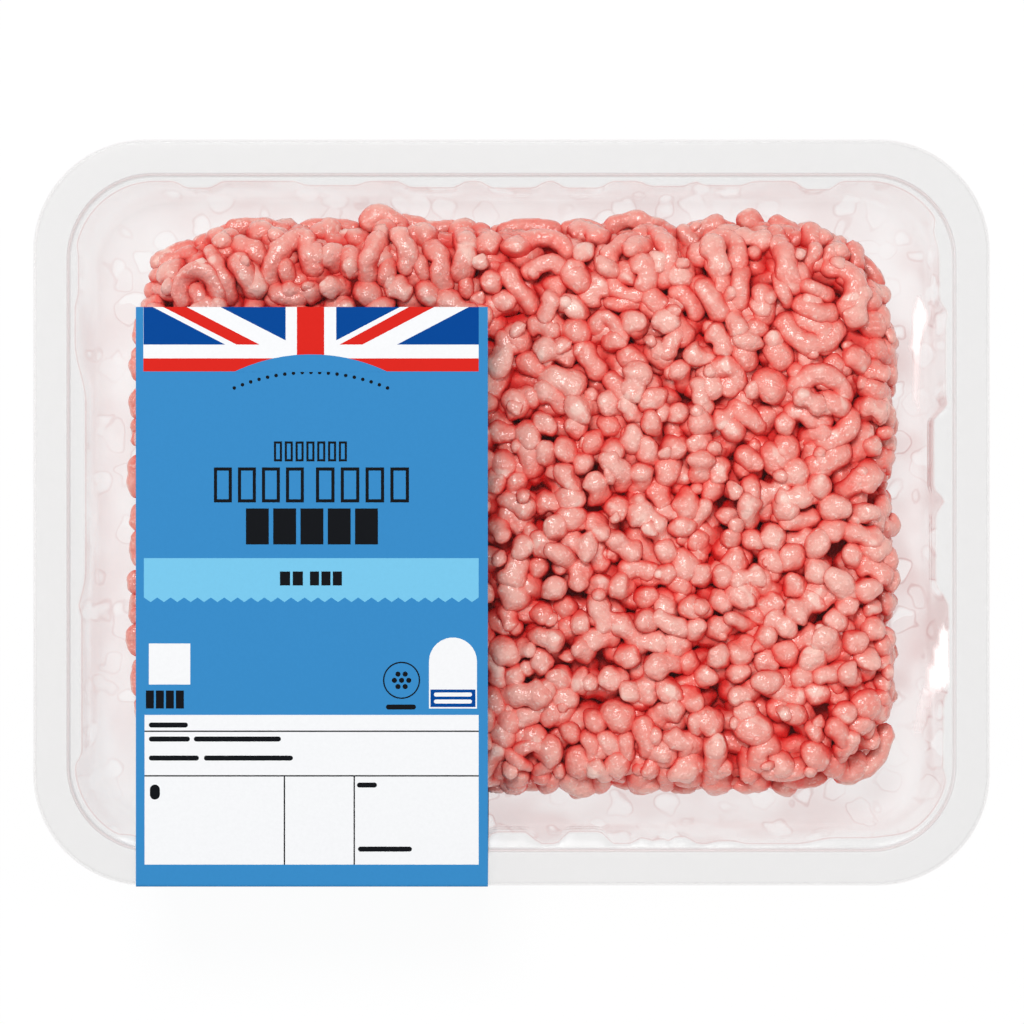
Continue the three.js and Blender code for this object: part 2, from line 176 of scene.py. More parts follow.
FLOOR_REACH, FLOOR_SINK = 3.0, 0.0002
corners = ((-1, -1), (1, -1), (1, 1), (-1, 1))
floor_corners = [(x * FLOOR_REACH, y * FLOOR_REACH, -FLOOR_SINK) for x, y in corners]
floor = mesh_object("floor", floor_corners, [(0, 1, 2, 3)], smooth=False)
glow = {
    "Roughness": 0.9,
    "Specular IOR Level": 0.0,
    "Base Color": (0.06, 0.06, 0.06, 1),
    "Emission Color": (1, 1, 1, 1),
    "Emission Strength": 0.94,
}
floor_paint = new_material("glowing_white_table", glow)[0]
floor.data.materials.append(floor_paint)
floor_paint.cycles.emission_sampling = "NONE"
print("floor and four lamps")

# %% [markdown]
# The tray is one sheet of clear plastic, pulled over a mould. Its rim is flat, its outer edge turns down, a
# narrow ledge runs round just inside, and the walls lean in to a rounded foot. One closed skin through many
# outlines of the rim makes all of it: each outline is a rounded rectangle drawn in by some inset at some
# height. A Solidify modifier on an open sheet would also do, but two skins of the same outlines keep the
# thickness even round tight corners.

# %% Outlines of the rim
RIM_LENGTH, RIM_WIDTH = 227 * mm, 177 * mm
RIM_CORNER = 26.5 * mm
CORNER_TIGHTENING = 0.75
RIM_TOP = 44.5 * mm
SHEET = 0.5 * mm
PIXEL = 0.237 * mm
CORNER_STEPS = 20


def rim_outline(inset, run_step=None):
    """x and y of the rim's outline drawn in by inset, anticlockwise: four arcs and the straight runs."""
    radius = RIM_CORNER - CORNER_TIGHTENING * inset
    far_x = RIM_LENGTH / 2 - inset - radius
    far_y = RIM_WIDTH / 2 - inset - radius
    points = []
    for corner, (sx, sy) in enumerate(((1, 1), (-1, 1), (-1, -1), (1, -1))):
        for step in range(CORNER_STEPS + 1):
            angle = math.pi / 2 * (corner + step / CORNER_STEPS)
            points.append((sx * far_x + radius * math.cos(angle), sy * far_y + radius * math.sin(angle)))
        if run_step:
            long_run = corner % 2 == 0
            full = RIM_LENGTH if long_run else RIM_WIDTH
            steps = round((full - 2 * RIM_CORNER) / run_step)
            run = (far_x if long_run else far_y) * 2
            turn = math.pi / 2 * (corner + 1)
            run_x, run_y = -math.sin(turn) * run, math.cos(turn) * run
            x, y = points[-1]
            points += [(x + run_x * i / steps, y + run_y * i / steps) for i in range(1, steps)]
    return np.array(points)


def skin_through(loops, first_pole, last_pole):
    """Vertices and faces of a closed skin: quads between the loops, a fan over the first and the last."""
    count = len(loops[0])
    vertices = np.concatenate([*loops, [first_pole, last_pole]])
    first, last = len(vertices) - 2, len(vertices) - 1
    top = (len(loops) - 1) * count
    faces = []
    for i in range(count):
        j = (i + 1) % count
        faces.append((first, j, i))
        faces.append((last, top + i, top + j))
        for level in range(len(loops) - 1):
            a, b = level * count, (level + 1) * count
            faces.append((a + i, a + j, b + j, b + i))
    return vertices, faces


def at_height(outline, z):
    return np.column_stack([outline, np.full(len(outline), z)])


print("outline points", len(rim_outline(0)))

# %% The tray's profile
LEDGE_INSET = 10 * mm
LEDGE_DROP = 2.4 * mm
FLANGE = 8.5 * mm
DRAFT = math.radians(4.5)
FOOT_RADIUS = 8 * mm
FLOOR_UNDER = 0.25 * mm
FLOOR_TOP = FLOOR_UNDER + SHEET
SKIRT_DROP = 2.5 * mm
FOOT_STEPS = 9
ledge_z = RIM_TOP - LEDGE_DROP
foot_z = FLOOR_UNDER + FOOT_RADIUS
foot_inset = LEDGE_INSET - SHEET + (ledge_z - foot_z) * math.tan(DRAFT)


def foot_arc(radius):
    """Profile points round the foot, from the wall to the flat floor."""
    centre = foot_inset + FOOT_RADIUS
    turns = [math.pi / 2 * i / FOOT_STEPS for i in range(FOOT_STEPS + 1)]
    return [(centre - radius * math.sin(a), foot_z - radius * math.cos(a)) for a in turns]


def fillet(corner, before, after, radius, steps=3):
    """A small rounded bend in the profile where it would turn sharply at corner."""
    corner, before, after = (np.array(p) for p in (corner, before, after))
    start = corner + (before - corner) / np.linalg.norm(before - corner) * radius
    end = corner + (after - corner) / np.linalg.norm(after - corner) * radius
    bend = []
    for i in range(steps + 1):
        t = i / steps
        bend.append(tuple((1 - t) ** 2 * start + 2 * t * (1 - t) * corner + t**2 * end))
    return bend


def rounded_profile(points, radius):
    """The profile with each inner corner rounded, by radius or by what the shorter side allows."""
    rounded = [points[0]]
    for before, corner, after in zip(points, points[1:], points[2:]):
        near = min(np.hypot(*np.subtract(corner, before)), np.hypot(*np.subtract(after, corner)))
        rounded += fillet(corner, before, after, min(radius, near * 0.45))
    return [*rounded, points[-1]]


EDGE = 1.0 * mm
WALL_DROPS = [0.4, 1.2, 2.3, 3.4, 4.4, 9, 16, 24]
BEND = 0.35 * mm


def wall_points(inset):
    """Profile points down the wall from the ledge, at which the ribs can change its shape."""
    return [(inset + drop * mm * math.tan(DRAFT), ledge_z - drop * mm) for drop in WALL_DROPS]


under_side = rounded_profile(
    [
        foot_arc(FOOT_RADIUS)[-1],
        *wall_points(LEDGE_INSET - SHEET)[:0:-1],
        (LEDGE_INSET - SHEET, ledge_z - SHEET),
        (FLANGE - SHEET, ledge_z - SHEET * 0.4),
        (FLANGE - SHEET, RIM_TOP - SHEET),
        (EDGE, RIM_TOP - SHEET),
        (SHEET, RIM_TOP - EDGE),
        (SHEET, RIM_TOP - SKIRT_DROP),
        (0, RIM_TOP - SKIRT_DROP),
    ],
    BEND,
)
edge_turn = [math.pi / 2 * i / 5 for i in range(6)]
upper_side = rounded_profile(
    [
        *[(EDGE * (1 - math.cos(a)), RIM_TOP - EDGE * (1 - math.sin(a))) for a in edge_turn],
        (FLANGE - 0.5 * mm, RIM_TOP),
        (FLANGE, RIM_TOP),
        (FLANGE + SHEET * 0.5, ledge_z + SHEET * 0.8),
        (LEDGE_INSET - 0.95 * mm, ledge_z + 0.06 * mm),
        (LEDGE_INSET - 0.5 * mm, ledge_z + 0.03 * mm),
        (LEDGE_INSET - 0.22 * mm, ledge_z + 0.01 * mm),
        (LEDGE_INSET, ledge_z),
        *wall_points(LEDGE_INSET),
        foot_arc(FOOT_RADIUS - SHEET)[-1],
    ],
    BEND,
)
outer_skin = [*foot_arc(FOOT_RADIUS), *under_side[1:]]
profile = [*outer_skin, *upper_side, *foot_arc(FOOT_RADIUS - SHEET)[::-1][1:]]
print("profile points", len(profile))

# %% [markdown]
# The walls are pressed into shallow ribs that stiffen them. Seen from above they give the ledge a scalloped
# inner edge. Each rib is two pixel places along the wall, a depth in millimetres and, for a gentle one, how
# many pixels it takes to rise, and it fades out down the wall. The front's ribs are repeated behind the
# label. The right wall also has two long streaks of painted highlight, painted white and glowing, where
# lamps would shine off the curved foot. Each is a row of places: a pixel row, the two pixel columns
# between which it shows there, and how bright the painted highlight is.

# %% Ribs in the walls
RIBS = {
    "front": [(488, 532, 2.8), (563, 607, 2.9), (636, 650, 1.5), (650, 670, 1.1), (670, 692, 1.7)]
    + [(712, 740, 0.7), (816, 900, 1.4, 20)],
    "back": [(180, 216, 1.6), (300, 362, 1.0), (404, 460, 1.5), (486, 540, 1.6), (560, 606, 1.6)]
    + [(645, 690, 1.2), (700, 748, 1.0), (800, 836, 2.0)],
    "left": [(250, 300, 0.8), (372, 600, 2.5, 30), (608, 760, 1.6)],
    "right": [(225, 306, 2.2, 10), (318, 402, 0.6), (412, 496, 3.5, 10), (505, 594, 3.0, 14)]
    + [(696, 775, 1.2)],
}
# The two streaks of painted highlight, row by row.
PAINTED_HIGHLIGHTS = [
    [(297, 919, 920, 1), (304, 916, 923, 1), (316, 914, 926, 1), (348, 911, 920, 1), (354, 914, 920, 0.6)]
    + [(398, 914, 918, 0.6), (424, 922, 923, 0)],
    [(625, 942, 944, 1), (632, 940, 948, 1), (684, 925, 949, 1), (695, 921, 936, 0.5), (730, 913, 924, 0.3)]
    + [(740, 912, 922, 0)],
]
PICTURE_END = 1023
RIB_RAMP = 8
MIDDLE_COLUMN, MIDDLE_ROW = 511.5, 512.5
front_rng = np.random.default_rng(71)
behind_label = [(start, end, deep * front_rng.uniform(0.6, 1)) for start, end, deep, *_ in RIBS["front"]]
RIBS["front"] += [(PICTURE_END - end, PICTURE_END - start, deep) for start, end, deep in behind_label]


def smooth_step(low, high, value):
    t = np.clip((value - low) / (high - low), 0, 1)
    return t * t * (3 - 2 * t)


def rib_depth(outline):
    """How far each point of the outline is pushed in by the ribs at the ledge."""
    x, y = outline.T
    column, row = x / PIXEL + MIDDLE_COLUMN, MIDDLE_ROW - y / PIXEL
    depth = np.zeros(len(x))
    end_x, end_y = RIM_LENGTH / 2 - 20 * mm, RIM_WIDTH / 2 - 20 * mm
    on_side = {
        "front": (y < -end_y, column),
        "back": (y > end_y, column),
        "left": (x < -end_x, row),
        "right": (x > end_x, row),
    }
    for side, (here, along) in on_side.items():
        for start, end, deep, *slow in RIBS[side]:
            ramp = slow[0] if slow else RIB_RAMP
            rise = smooth_step(start - ramp, start + ramp, along)
            fall = smooth_step(end - ramp, end + ramp, along)
            depth = np.maximum(depth, here * rise * (1 - fall) * deep * mm)
    return depth


RUN_STEP = 1.35 * mm
ON_WALL = (98 * mm, 73 * mm)
RIB_FADE = (14 * mm, 36 * mm)
RIM_LINE = 0.65
ledge_outline = rim_outline(LEDGE_INSET, RUN_STEP)
ledge_rib = rib_depth(ledge_outline)
inwards = -np.sign(ledge_outline) * (np.abs(ledge_outline) > ON_WALL)
inwards = inwards / np.maximum(np.linalg.norm(inwards, axis=1), 1)[:, None]
tray_loops, crease, on_wall = [], [], []
for inset, z in profile:
    outline = rim_outline(inset, RUN_STEP)
    if inset > LEDGE_INSET - 0.9 * mm:
        outline = outline + inwards * (ledge_rib * smooth_step(*RIB_FADE, z))[:, None]
    tray_loops.append(at_height(outline, z))
    # The crease mark paints a thin darker pink line along the ledge's inner bend and the rim's inner edge:
    # painted shade at the bends.
    at_ledge = abs(z - ledge_z) < 0.12 * mm and inset > LEDGE_INSET - 0.3 * mm
    at_rim = abs(inset - FLANGE) < 0.3 * mm and z > RIM_TOP - 0.4 * mm
    crease.append(1.0 if at_ledge else RIM_LINE if at_rim else 0.0)
    inner = inset > LEDGE_INSET - 0.1 * mm and z < ledge_z + 0.1 * mm
    outer = inset > LEDGE_INSET - 0.6 * mm and z < ledge_z - SHEET - 0.1 * mm
    on_wall.append(1.0 if inner or outer else 0.0)
tray_vertices, tray_faces = skin_through(tray_loops, (0, 0, FLOOR_UNDER), (0, 0, FLOOR_TOP))
tray = mesh_object("clear_tray", tray_vertices, tray_faces)


def mark(piece, name, values):
    """Stores one number for each vertex, for the material to read."""
    layer = piece.data.attributes.new(name, "FLOAT", "POINT")
    layer.data.foreach_set("value", list(values))


def all_round(values, at_poles):
    """One number for each profile point, given to its whole loop, and then that of the two poles."""
    return [*np.repeat(values, len(ledge_outline)), at_poles, at_poles]


mark(tray, "wall", all_round(on_wall, 1))
# The painted shade lines along rim and ledge are faint down the right side, and the skirt's edge is as
# clear as the sheet is thin.
fainter = 1 - 0.65 * smooth_step(100 * mm, 104 * mm, ledge_outline[:, 0])
mark(tray, "crease", all_round(crease, 0) * np.array([*np.tile(fainter, len(crease)), 0, 0]))
on_skirt = [1.0 if inset < EDGE * 0.7 and z < RIM_TOP - 0.3 * mm else 0.0 for inset, z in profile]
mark(tray, "skirt", all_round(on_skirt, 0))
# Juice has spread most down the right and the front, and hardly into the corners.
tray_x, tray_y = tray_vertices[:, 0], tray_vertices[:, 1]
in_corner = smooth_step(72 * mm, 98 * mm, np.abs(tray_x)) * smooth_step(48 * mm, 74 * mm, np.abs(tray_y))
to_right, to_front = smooth_step(80 * mm, 100 * mm, tray_x), smooth_step(60 * mm, 75 * mm, -tray_y)
mark(tray, "juice", (0.55 + 0.85 * to_right + 0.25 * to_front) * (1 - 0.75 * in_corner))
# The painted highlights are marked where they show from straight above, on the inner skin.
nearer = (CAMERA_HEIGHT - RIM_TOP) / (CAMERA_HEIGHT - tray_vertices[:, 2])
column, row = tray_x / PIXEL * nearer + MIDDLE_COLUMN, MIDDLE_ROW - tray_y / PIXEL * nearer
SOFT_EDGE = 3
white = np.zeros(len(tray_x))
for shape in PAINTED_HIGHLIGHTS:
    rows, left, right, strength = (np.array(v, float) for v in zip(*shape))
    inside = np.clip((column - np.interp(row, rows, left)) / SOFT_EDGE + 0.5, 0, 1)
    inside *= np.clip((np.interp(row, rows, right) - column) / SOFT_EDGE + 0.5, 0, 1)
    inside *= np.interp(row, rows, strength) * (row > rows[0]) * (row < rows[-1])
    white = np.maximum(white, inside)
inner_skin = [float(i >= len(outer_skin) and inset > FLANGE) for i, (inset, _) in enumerate(profile)]
mark(tray, "painted_highlight", white * all_round(inner_skin, 0))
print("tray faces", len(tray_faces))

# %% [markdown]
# Thin clear plastic mostly lets you see straight through, adds a little milky white of its own, and mirrors
# lamps at a glancing angle. Real glass shading would bend the view through both skins and turn the meat
# inside dark, because light has to find its way in. A mix of a see-through shader and a white glossy one is
# brighter and cleaner, and as so thin a sheet takes hardly any light away, it casts no shadow on the meat.
# The walls also show pale pink where juice has spread between the meat and the plastic, in scalloped
# patches.

# %% Clear plastic


def math_of(tree, operation, *values, clamp=False):
    """One Math node; its values are numbers or come from other nodes."""
    feeds = dict(enumerate(values))
    return make(tree, "ShaderNodeMath", feeds, operation=operation, use_clamp=clamp).outputs[0]


def product(tree, *values):
    """All values multiplied, from left to right."""
    result = values[0]
    for value in values[1:]:
        result = math_of(tree, "MULTIPLY", result, value)
    return result


def ranged(tree, value, low, high, to_low=0.0, to_high=1.0, kind="SMOOTHSTEP"):
    """value drawn from low..high onto to_low..to_high."""
    feeds = {"Value": value, "From Min": low, "From Max": high, "To Min": to_low, "To Max": to_high}
    return make(tree, "ShaderNodeMapRange", feeds, interpolation_type=kind).outputs["Result"]


def straight_ranged(tree, value, low, high, to_low, to_high):
    """The same without the soft start and end."""
    return ranged(tree, value, low, high, to_low, to_high, "LINEAR")


def noise_of(tree, where, scale, detail=1.0, colour=False):
    """A cloud of so many cells a metre, as one number or as a colour."""
    feeds = {"Vector": where, "Scale": scale, "Detail": detail}
    return make(tree, "ShaderNodeTexNoise", feeds).outputs["Color" if colour else "Fac"]


def marked(tree, name):
    """A number stored on the mesh."""
    return make(tree, "ShaderNodeAttribute", attribute_name=name).outputs["Fac"]


def mixed(tree, kind, share, a, b):
    """From a to b by share, for numbers, colours or places."""
    if kind == "RGBA":
        a, b = ((*v, 1) if isinstance(v, tuple) else v for v in (a, b))
    return make(tree, "ShaderNodeMix", {"Factor": share, "A": a, "B": b}, data_type=kind).outputs["Result"]


def clear_plastic(name, milk, roughness, specular, tint=(0.9, 0.9, 0.9)):
    """See-through sheet: milk is how much white it adds when seen straight on."""
    values = {"Roughness": roughness, "Specular IOR Level": specular, "Base Color": (*tint, 1)}
    material, tree, shader = new_material(name, values)
    facing = make(tree, "ShaderNodeLayerWeight", {"Blend": 0.25}).outputs["Facing"]
    milky = straight_ranged(tree, facing, 0.0, 1.0, milk, milk + 0.35)
    see_through = make(tree, "ShaderNodeBsdfTransparent")
    mix = make(tree, "ShaderNodeMixShader", {"Fac": milky, 1: see_through, 2: shader})
    feed(tree, tree.nodes["Material Output"], {"Surface": mix})
    return material, tree, shader, see_through, mix, milky


def dress(piece, material, node):
    """Gives a clear sheet its material, hides the part it stands for and hangs it on the root body. It takes
    no light away from the meat.
    """
    piece.data.materials.append(material)
    piece.visible_shadow = False
    piece.visible_diffuse = False
    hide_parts(node)
    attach(piece, "root")


tray_plastic, tree, shader, see_through, mix, milky = clear_plastic("clear_tray_plastic", 0.29, 0.14, 0.3)
where = make(tree, "ShaderNodeTexCoord").outputs["Object"]
# The fourth mark is where the highlight is painted.
MARKS = ("wall", "crease", "juice", "painted_highlight", "skirt")
wall, line, juice, painted_highlight, skirt = (marked(tree, name) for name in MARKS)
ripple = {"Strength": 0.12, "Distance": 0.0006, "Height": noise_of(tree, where, 120.0)}
feed(tree, shader, {"Normal": make(tree, "ShaderNodeBump", ripple)})
# Juice between the meat and the plastic: a pink web round pale cells, and here and there a thin outline.
# The walls are steep and mostly seen from above, so the pattern is drawn out down them.
drawn_out = make(tree, "ShaderNodeMapping", {"Vector": where, "Scale": (1.0, 1.0, 0.22)})
swirl = noise_of(tree, drawn_out, 160.0, colour=True)
stirred = mixed(tree, "VECTOR", 0.006, drawn_out.outputs[0], swirl)
cells = make(tree, "ShaderNodeTexVoronoi", {"Vector": stirred, "Scale": 130.0}, feature="F1").outputs
web = ranged(tree, cells["Distance"], 0.26, 0.42)
stained = ranged(tree, cells["Color"], 0.5, 0.56)
patches = ranged(tree, noise_of(tree, where, 45.0, 2.0), 0.36, 0.64, 0.15, 1.0)
rings = math_of(tree, "ABSOLUTE", math_of(tree, "SUBTRACT", cells["Distance"], 0.4))
outlines = product(tree, ranged(tree, rings, 0.0, 0.05, 0.55, 0.0), patches)
smeared = product(tree, math_of(tree, "MAXIMUM", web, product(tree, stained, 0.8)), 0.5, patches)
pink = product(tree, math_of(tree, "ADD", smeared, outlines), juice, wall)
# The bend lines are painted shade, in the same pink.
pink = math_of(tree, "ADD", pink, product(tree, line, 0.8), clamp=True)
feed(tree, see_through, {"Color": mixed(tree, "RGBA", pink, (1.0, 0.995, 0.995), (0.88, 0.77, 0.765))})
zones = mixed(tree, "RGBA", wall, (0.64, 0.636, 0.636), (0.71, 0.70, 0.70))
juicy = mixed(tree, "RGBA", pink, zones, (0.64, 0.51, 0.50))
# Where the highlight is painted, the sheet is painted white and glows by itself: a painted highlight
# and a painted glow.
highlight_and_glow = {
    "Base Color": mixed(tree, "RGBA", painted_highlight, juicy, (0.98, 0.98, 0.98)),
    "Emission Color": mixed(tree, "RGBA", painted_highlight, (0.0, 0.0, 0.0), (0.6, 0.6, 0.6)),
    "Emission Strength": 1.0,
}
feed(tree, shader, highlight_and_glow)
tray_plastic.cycles.emission_sampling = "NONE"
# The walls are thinner than the rim, so less milky, and so is the skirt.
sheet_milk = product(tree, milky, straight_ranged(tree, skirt, 0.0, 1.0, 1.0, 0.25))
# Where the highlight is painted, the sheet is also made opaque.
wall_milk = math_of(tree, "ADD", product(tree, sheet_milk, 0.38), product(tree, painted_highlight, 0.7), clamp=True)
feed(tree, mix, {"Fac": mixed(tree, "FLOAT", wall, sheet_milk, wall_milk)})
dress(tray, tray_plastic, "tray")

# %% [markdown]
# The film is welded flat and tight across the rim. It is one thin closed sheet, and only its gloss shows.
# Its underside lies a hair above the rim: two clear surfaces in one plane would come out in patches.

# %% Film
film_outline = rim_outline(0.5 * mm)
under_film, over_film = film_low.z + 0.02 * mm, film_high.z
film_loops = [at_height(film_outline, under_film), at_height(film_outline, over_film)]
film_vertices, film_faces = skin_through(film_loops, (0, 0, under_film), (0, 0, over_film))
film = mesh_object("clear_film", film_vertices, film_faces, smooth=False)
dress(film, clear_plastic("clear_film_plastic", 0.003, 0.05, 0.6)[0], "lid_film")
print("film at", round(film_low.z / mm, 2), "to", round(film_high.z / mm, 2), "mm")

# %% [markdown]
# Mince comes out of the grinder as strands about 5.5 mm thick that break into short beans, pile up and sink
# into each other. The heap is a rounded block. `heap_point` draws the points of a plain box onto that
# block: its plan corners become round, its top edge rolls over and its foot draws in. Everything on the
# heap is placed with it, so core, strands and loops all agree. Sculpting would also give a heap, but not
# one that follows a size.

# %% The heap's form
HALF = np.array([178, 133]) * mm / 2
HEAP_CENTRE = np.array([1.4, 1.2]) * mm
HEAP_HEIGHT = 27 * mm
HEAP_CORNER = 25 * mm
HEAP_ROLL = 10 * mm
HEAP_TUCK, TUCK_HEIGHT = 4 * mm, 6 * mm


def round_off(a, b):
    """Two distances that meet in a square corner, drawn onto a round one."""
    length = np.hypot(a, b)
    scale = np.where(length > 0, np.maximum(np.abs(a), np.abs(b)) / np.maximum(length, 1e-12), 1)
    return a * scale, b * scale


def swell(x, y):
    """Gentle hollows and swells of the top."""
    x, y = x / mm, y / mm
    return 1 + 0.035 * np.sin(x / 17 + 1.3) * np.cos(y / 14) + 0.03 * np.cos(x / 31 - y / 23)


def heap_point(x, y, z, lift=0.0):
    """Points x, y, z of the plain box, moved onto the heap and then off its surface by lift."""
    x, y, z = (np.atleast_1d(np.asarray(v, float)) for v in (x, y, z))
    inner_x = np.clip(x, HEAP_CORNER - HALF[0], HALF[0] - HEAP_CORNER)
    inner_y = np.clip(y, HEAP_CORNER - HALF[1], HALF[1] - HEAP_CORNER)
    plan_x, plan_y = round_off(x - inner_x, y - inner_y)
    reach = np.maximum(np.hypot(plan_x, plan_y), 1e-12)
    out_x, out_y = plan_x / reach, plan_y / reach
    edge = np.minimum(HALF[0] - np.abs(x), HALF[1] - np.abs(y))
    over_edge = np.maximum(HEAP_ROLL - edge, 0)
    over_shoulder = np.maximum(z - (HEAP_HEIGHT - HEAP_ROLL), 0)
    across, up = round_off(over_edge, over_shoulder)
    lean = np.clip(1 - z / TUCK_HEIGHT, 0, 1)
    # On a skin inside the heap the underside is drawn in along with its edge, or it would fold over itself
    # there.
    drawn_in = np.where(edge < 1e-9, 1.0, over_edge / HEAP_ROLL if lift < 0 else 0.0)
    tuck = HEAP_TUCK * (1 - np.sqrt(1 - lean**2)) * drawn_in
    length = np.maximum(np.hypot(across, up), 1e-12)
    lift_share = np.where(over_shoulder > 0, across / length, over_edge / HEAP_ROLL)
    inward = over_edge - across + tuck - lift_share * lift
    inward = np.where(reach > 1e-9, inward, 0)
    height = (z - over_shoulder + up) * swell(x, y) + up / length * lift
    return np.column_stack(
        [
            HEAP_CENTRE[0] + inner_x + plan_x - out_x * inward,
            HEAP_CENTRE[1] + inner_y + plan_y - out_y * inward,
            FLOOR_TOP + height,
        ]
    )


def heap_skin(name, lift, cell, lowest=FLOOR_TOP):
    """A closed skin of the heap, off its surface by lift: sides and top in one grid, underside flat."""
    nx, ny, nz = (max(2, round(s / cell)) for s in (2 * HALF[0], 2 * HALF[1], HEAP_HEIGHT))
    places, faces = {}, []

    def quad(*corners):
        faces.append([places.setdefault(c, len(places)) for c in corners])

    for i in range(nx):
        for j in range(ny):
            quad((i, j, nz), (i + 1, j, nz), (i + 1, j + 1, nz), (i, j + 1, nz))
            quad((i, j, 0), (i, j + 1, 0), (i + 1, j + 1, 0), (i + 1, j, 0))
    for k in range(nz):
        for i in range(nx):
            quad((i, 0, k), (i + 1, 0, k), (i + 1, 0, k + 1), (i, 0, k + 1))
            quad((i, ny, k), (i, ny, k + 1), (i + 1, ny, k + 1), (i + 1, ny, k))
        for j in range(ny):
            quad((0, j, k), (0, j, k + 1), (0, j + 1, k + 1), (0, j + 1, k))
            quad((nx, j, k), (nx, j + 1, k), (nx, j + 1, k + 1), (nx, j, k + 1))
    grid = np.array(list(places), float)
    x = (grid[:, 0] / nx * 2 - 1) * HALF[0]
    y = (grid[:, 1] / ny * 2 - 1) * HALF[1]
    z = grid[:, 2] / nz * HEAP_HEIGHT
    points = heap_point(x, y, z, lift)
    points[:, 2] = np.maximum(points[:, 2], lowest)
    return mesh_object(name, points, faces)


heap_surface = heap_skin("heap_surface", 0.0, 4 * mm)
print("heap surface points", len(heap_surface.data.vertices))

# %% [markdown]
# One strand is a row of rings along a bent line, lumpy along its length and closed by a rounded end. A
# capsule primitive would be too even: real strands swell and pinch every few millimetres, are never quite
# round, and show mostly as knobs, where a strand folds or ends. Single knobs, double knobs and longer
# strands make up what shows, with crumbs between them and plainer strands below. Eight shapes of each are
# enough, because each copy is also turned, tilted and scaled.

# %% One strand of mince
rng = np.random.default_rng(20417)
STRAND = 2.8 * mm
COARSE, FINE = 3.2 * mm, 1.4 * mm
FULL_TURN = 6.3


def strand_rings(path, radius, sides, rings, bulbs=0, lumps=0.07, rough=0.42 * mm):
    """A closed lumpy tube along a path of points, as vertices and faces, with so many bulbs."""
    path = np.asarray(path, float)
    steps = np.linalg.norm(np.diff(path, axis=0), axis=1)
    along = np.concatenate([[0], np.cumsum(steps)])
    length = along[-1]
    # Rings are closer together near the ends, so that the ends come out round.
    even = np.linspace(0, 1, rings + 2)[1:-1]
    share = (1 - np.cos(np.pi * even)) / 2
    blend = min(1.0, 3 * radius / length)
    at = (share * blend + even * (1 - blend)) * length
    centre = np.column_stack([np.interp(at, along, path[:, k]) for k in range(3)])
    tangent = np.gradient(centre, axis=0)
    tangent /= np.linalg.norm(tangent, axis=1)[:, None]
    side = np.cross(tangent[0], (0.3, 0.2, 1.0))
    side /= np.linalg.norm(side)
    angle = np.arange(sides) / sides * 2 * np.pi
    phase, pitch = rng.uniform(0, FULL_TURN), rng.uniform(4.0, 6.0) * mm
    taper, flat = rng.uniform(-0.2, 0.2), rng.uniform(0.84, 1.0)
    shift = Vector(rng.uniform(0, 90, 3))

    def dents(place):
        """How far the strand's skin is pushed out at a place by its own unevenness."""
        return noise.noise(place / COARSE + shift) * 1.7 + noise.noise(place / FINE + shift) * 0.7

    loops = []
    for c, t, s in zip(centre, tangent, at):
        side = side - t * side.dot(t)
        side /= np.linalg.norm(side)
        up = np.cross(t, side)
        end = min(s, length - s)
        cap = math.sqrt(max(0.0, 1 - max(0.0, 1 - end / (radius * 0.95)) ** 2))
        wave = lumps * math.sin(s / pitch * FULL_TURN + phase)
        size = radius * cap * (1 + wave + taper * (2 * s / length - 1))
        if bulbs:
            size *= 1 - 0.13 * (1 + math.cos(2 * math.pi * bulbs * s / length)) / 2
        ring = np.outer(np.cos(angle), side) / flat + np.outer(np.sin(angle), up) * flat
        wide = [size + cap * rough * dents(Vector(c + r * size)) for r in ring]
        loops.append(c + ring * np.array(wide)[:, None])
    return skin_through(loops, path[0], path[-1])


def bent_path(length, bend, lean=0.0, count=9):
    """A line of that length that turns by bend radians in plan, and by lean radians down at both ends."""
    t = np.linspace(-0.5, 0.5, count)
    heading = bend * t
    dip = -lean * t * 2
    step = length / (count - 1)
    flat = np.column_stack([np.cos(heading) * np.cos(dip), np.sin(heading) * np.cos(dip), np.sin(dip)])
    points = np.cumsum(flat * step, axis=0)
    return points - points.mean(axis=0)


def strand_kinds(name, count, lengths, radii, bulbs, bends, leans, sides, rings):
    """A collection of strand shapes of one kind."""
    kinds = bpy.data.collections.new(name)
    for number in range(count):
        path = bent_path(rng.uniform(*lengths) * mm, rng.uniform(*bends), rng.uniform(*leans))
        shape = strand_rings(path, STRAND * rng.uniform(*radii), sides, rings, bulbs)
        made = mesh_object(f"{name}_{number:02d}", *shape)
        bpy.context.scene.collection.objects.unlink(made)
        kinds.objects.link(made)
    return kinds


SHAPES = 8
# Lengths in mm, thickness as a share, bulbs, bends and leans in radians, then sides and rings of the mesh.
knobs = strand_kinds("knob", SHAPES, (6.2, 9.0), (0.9, 1.1), 1, (-0.8, 0.8), (0.1, 0.7), 16, 13)
doubles = strand_kinds("double_knob", SHAPES, (9.5, 12.5), (0.88, 1.04), 2, (-1.3, 1.3), (0.3, 1.1), 16, 18)
longer = strand_kinds("longer_strand", SHAPES, (12.5, 17.0), (0.86, 1.0), 3, (-2.0, 2.0), (0.5, 1.3), 16, 24)
crumbs = strand_kinds("crumb", SHAPES, (3.0, 5.5), (0.5, 0.72), 1, (-0.8, 0.8), (0.1, 0.5), 8, 6)
plain = strand_kinds("hidden_strand", SHAPES, (8.0, 13.0), (1.0, 1.15), 2, (-1.0, 1.0), (0.1, 0.5), 8, 8)
print("strand shapes", 5 * SHAPES)
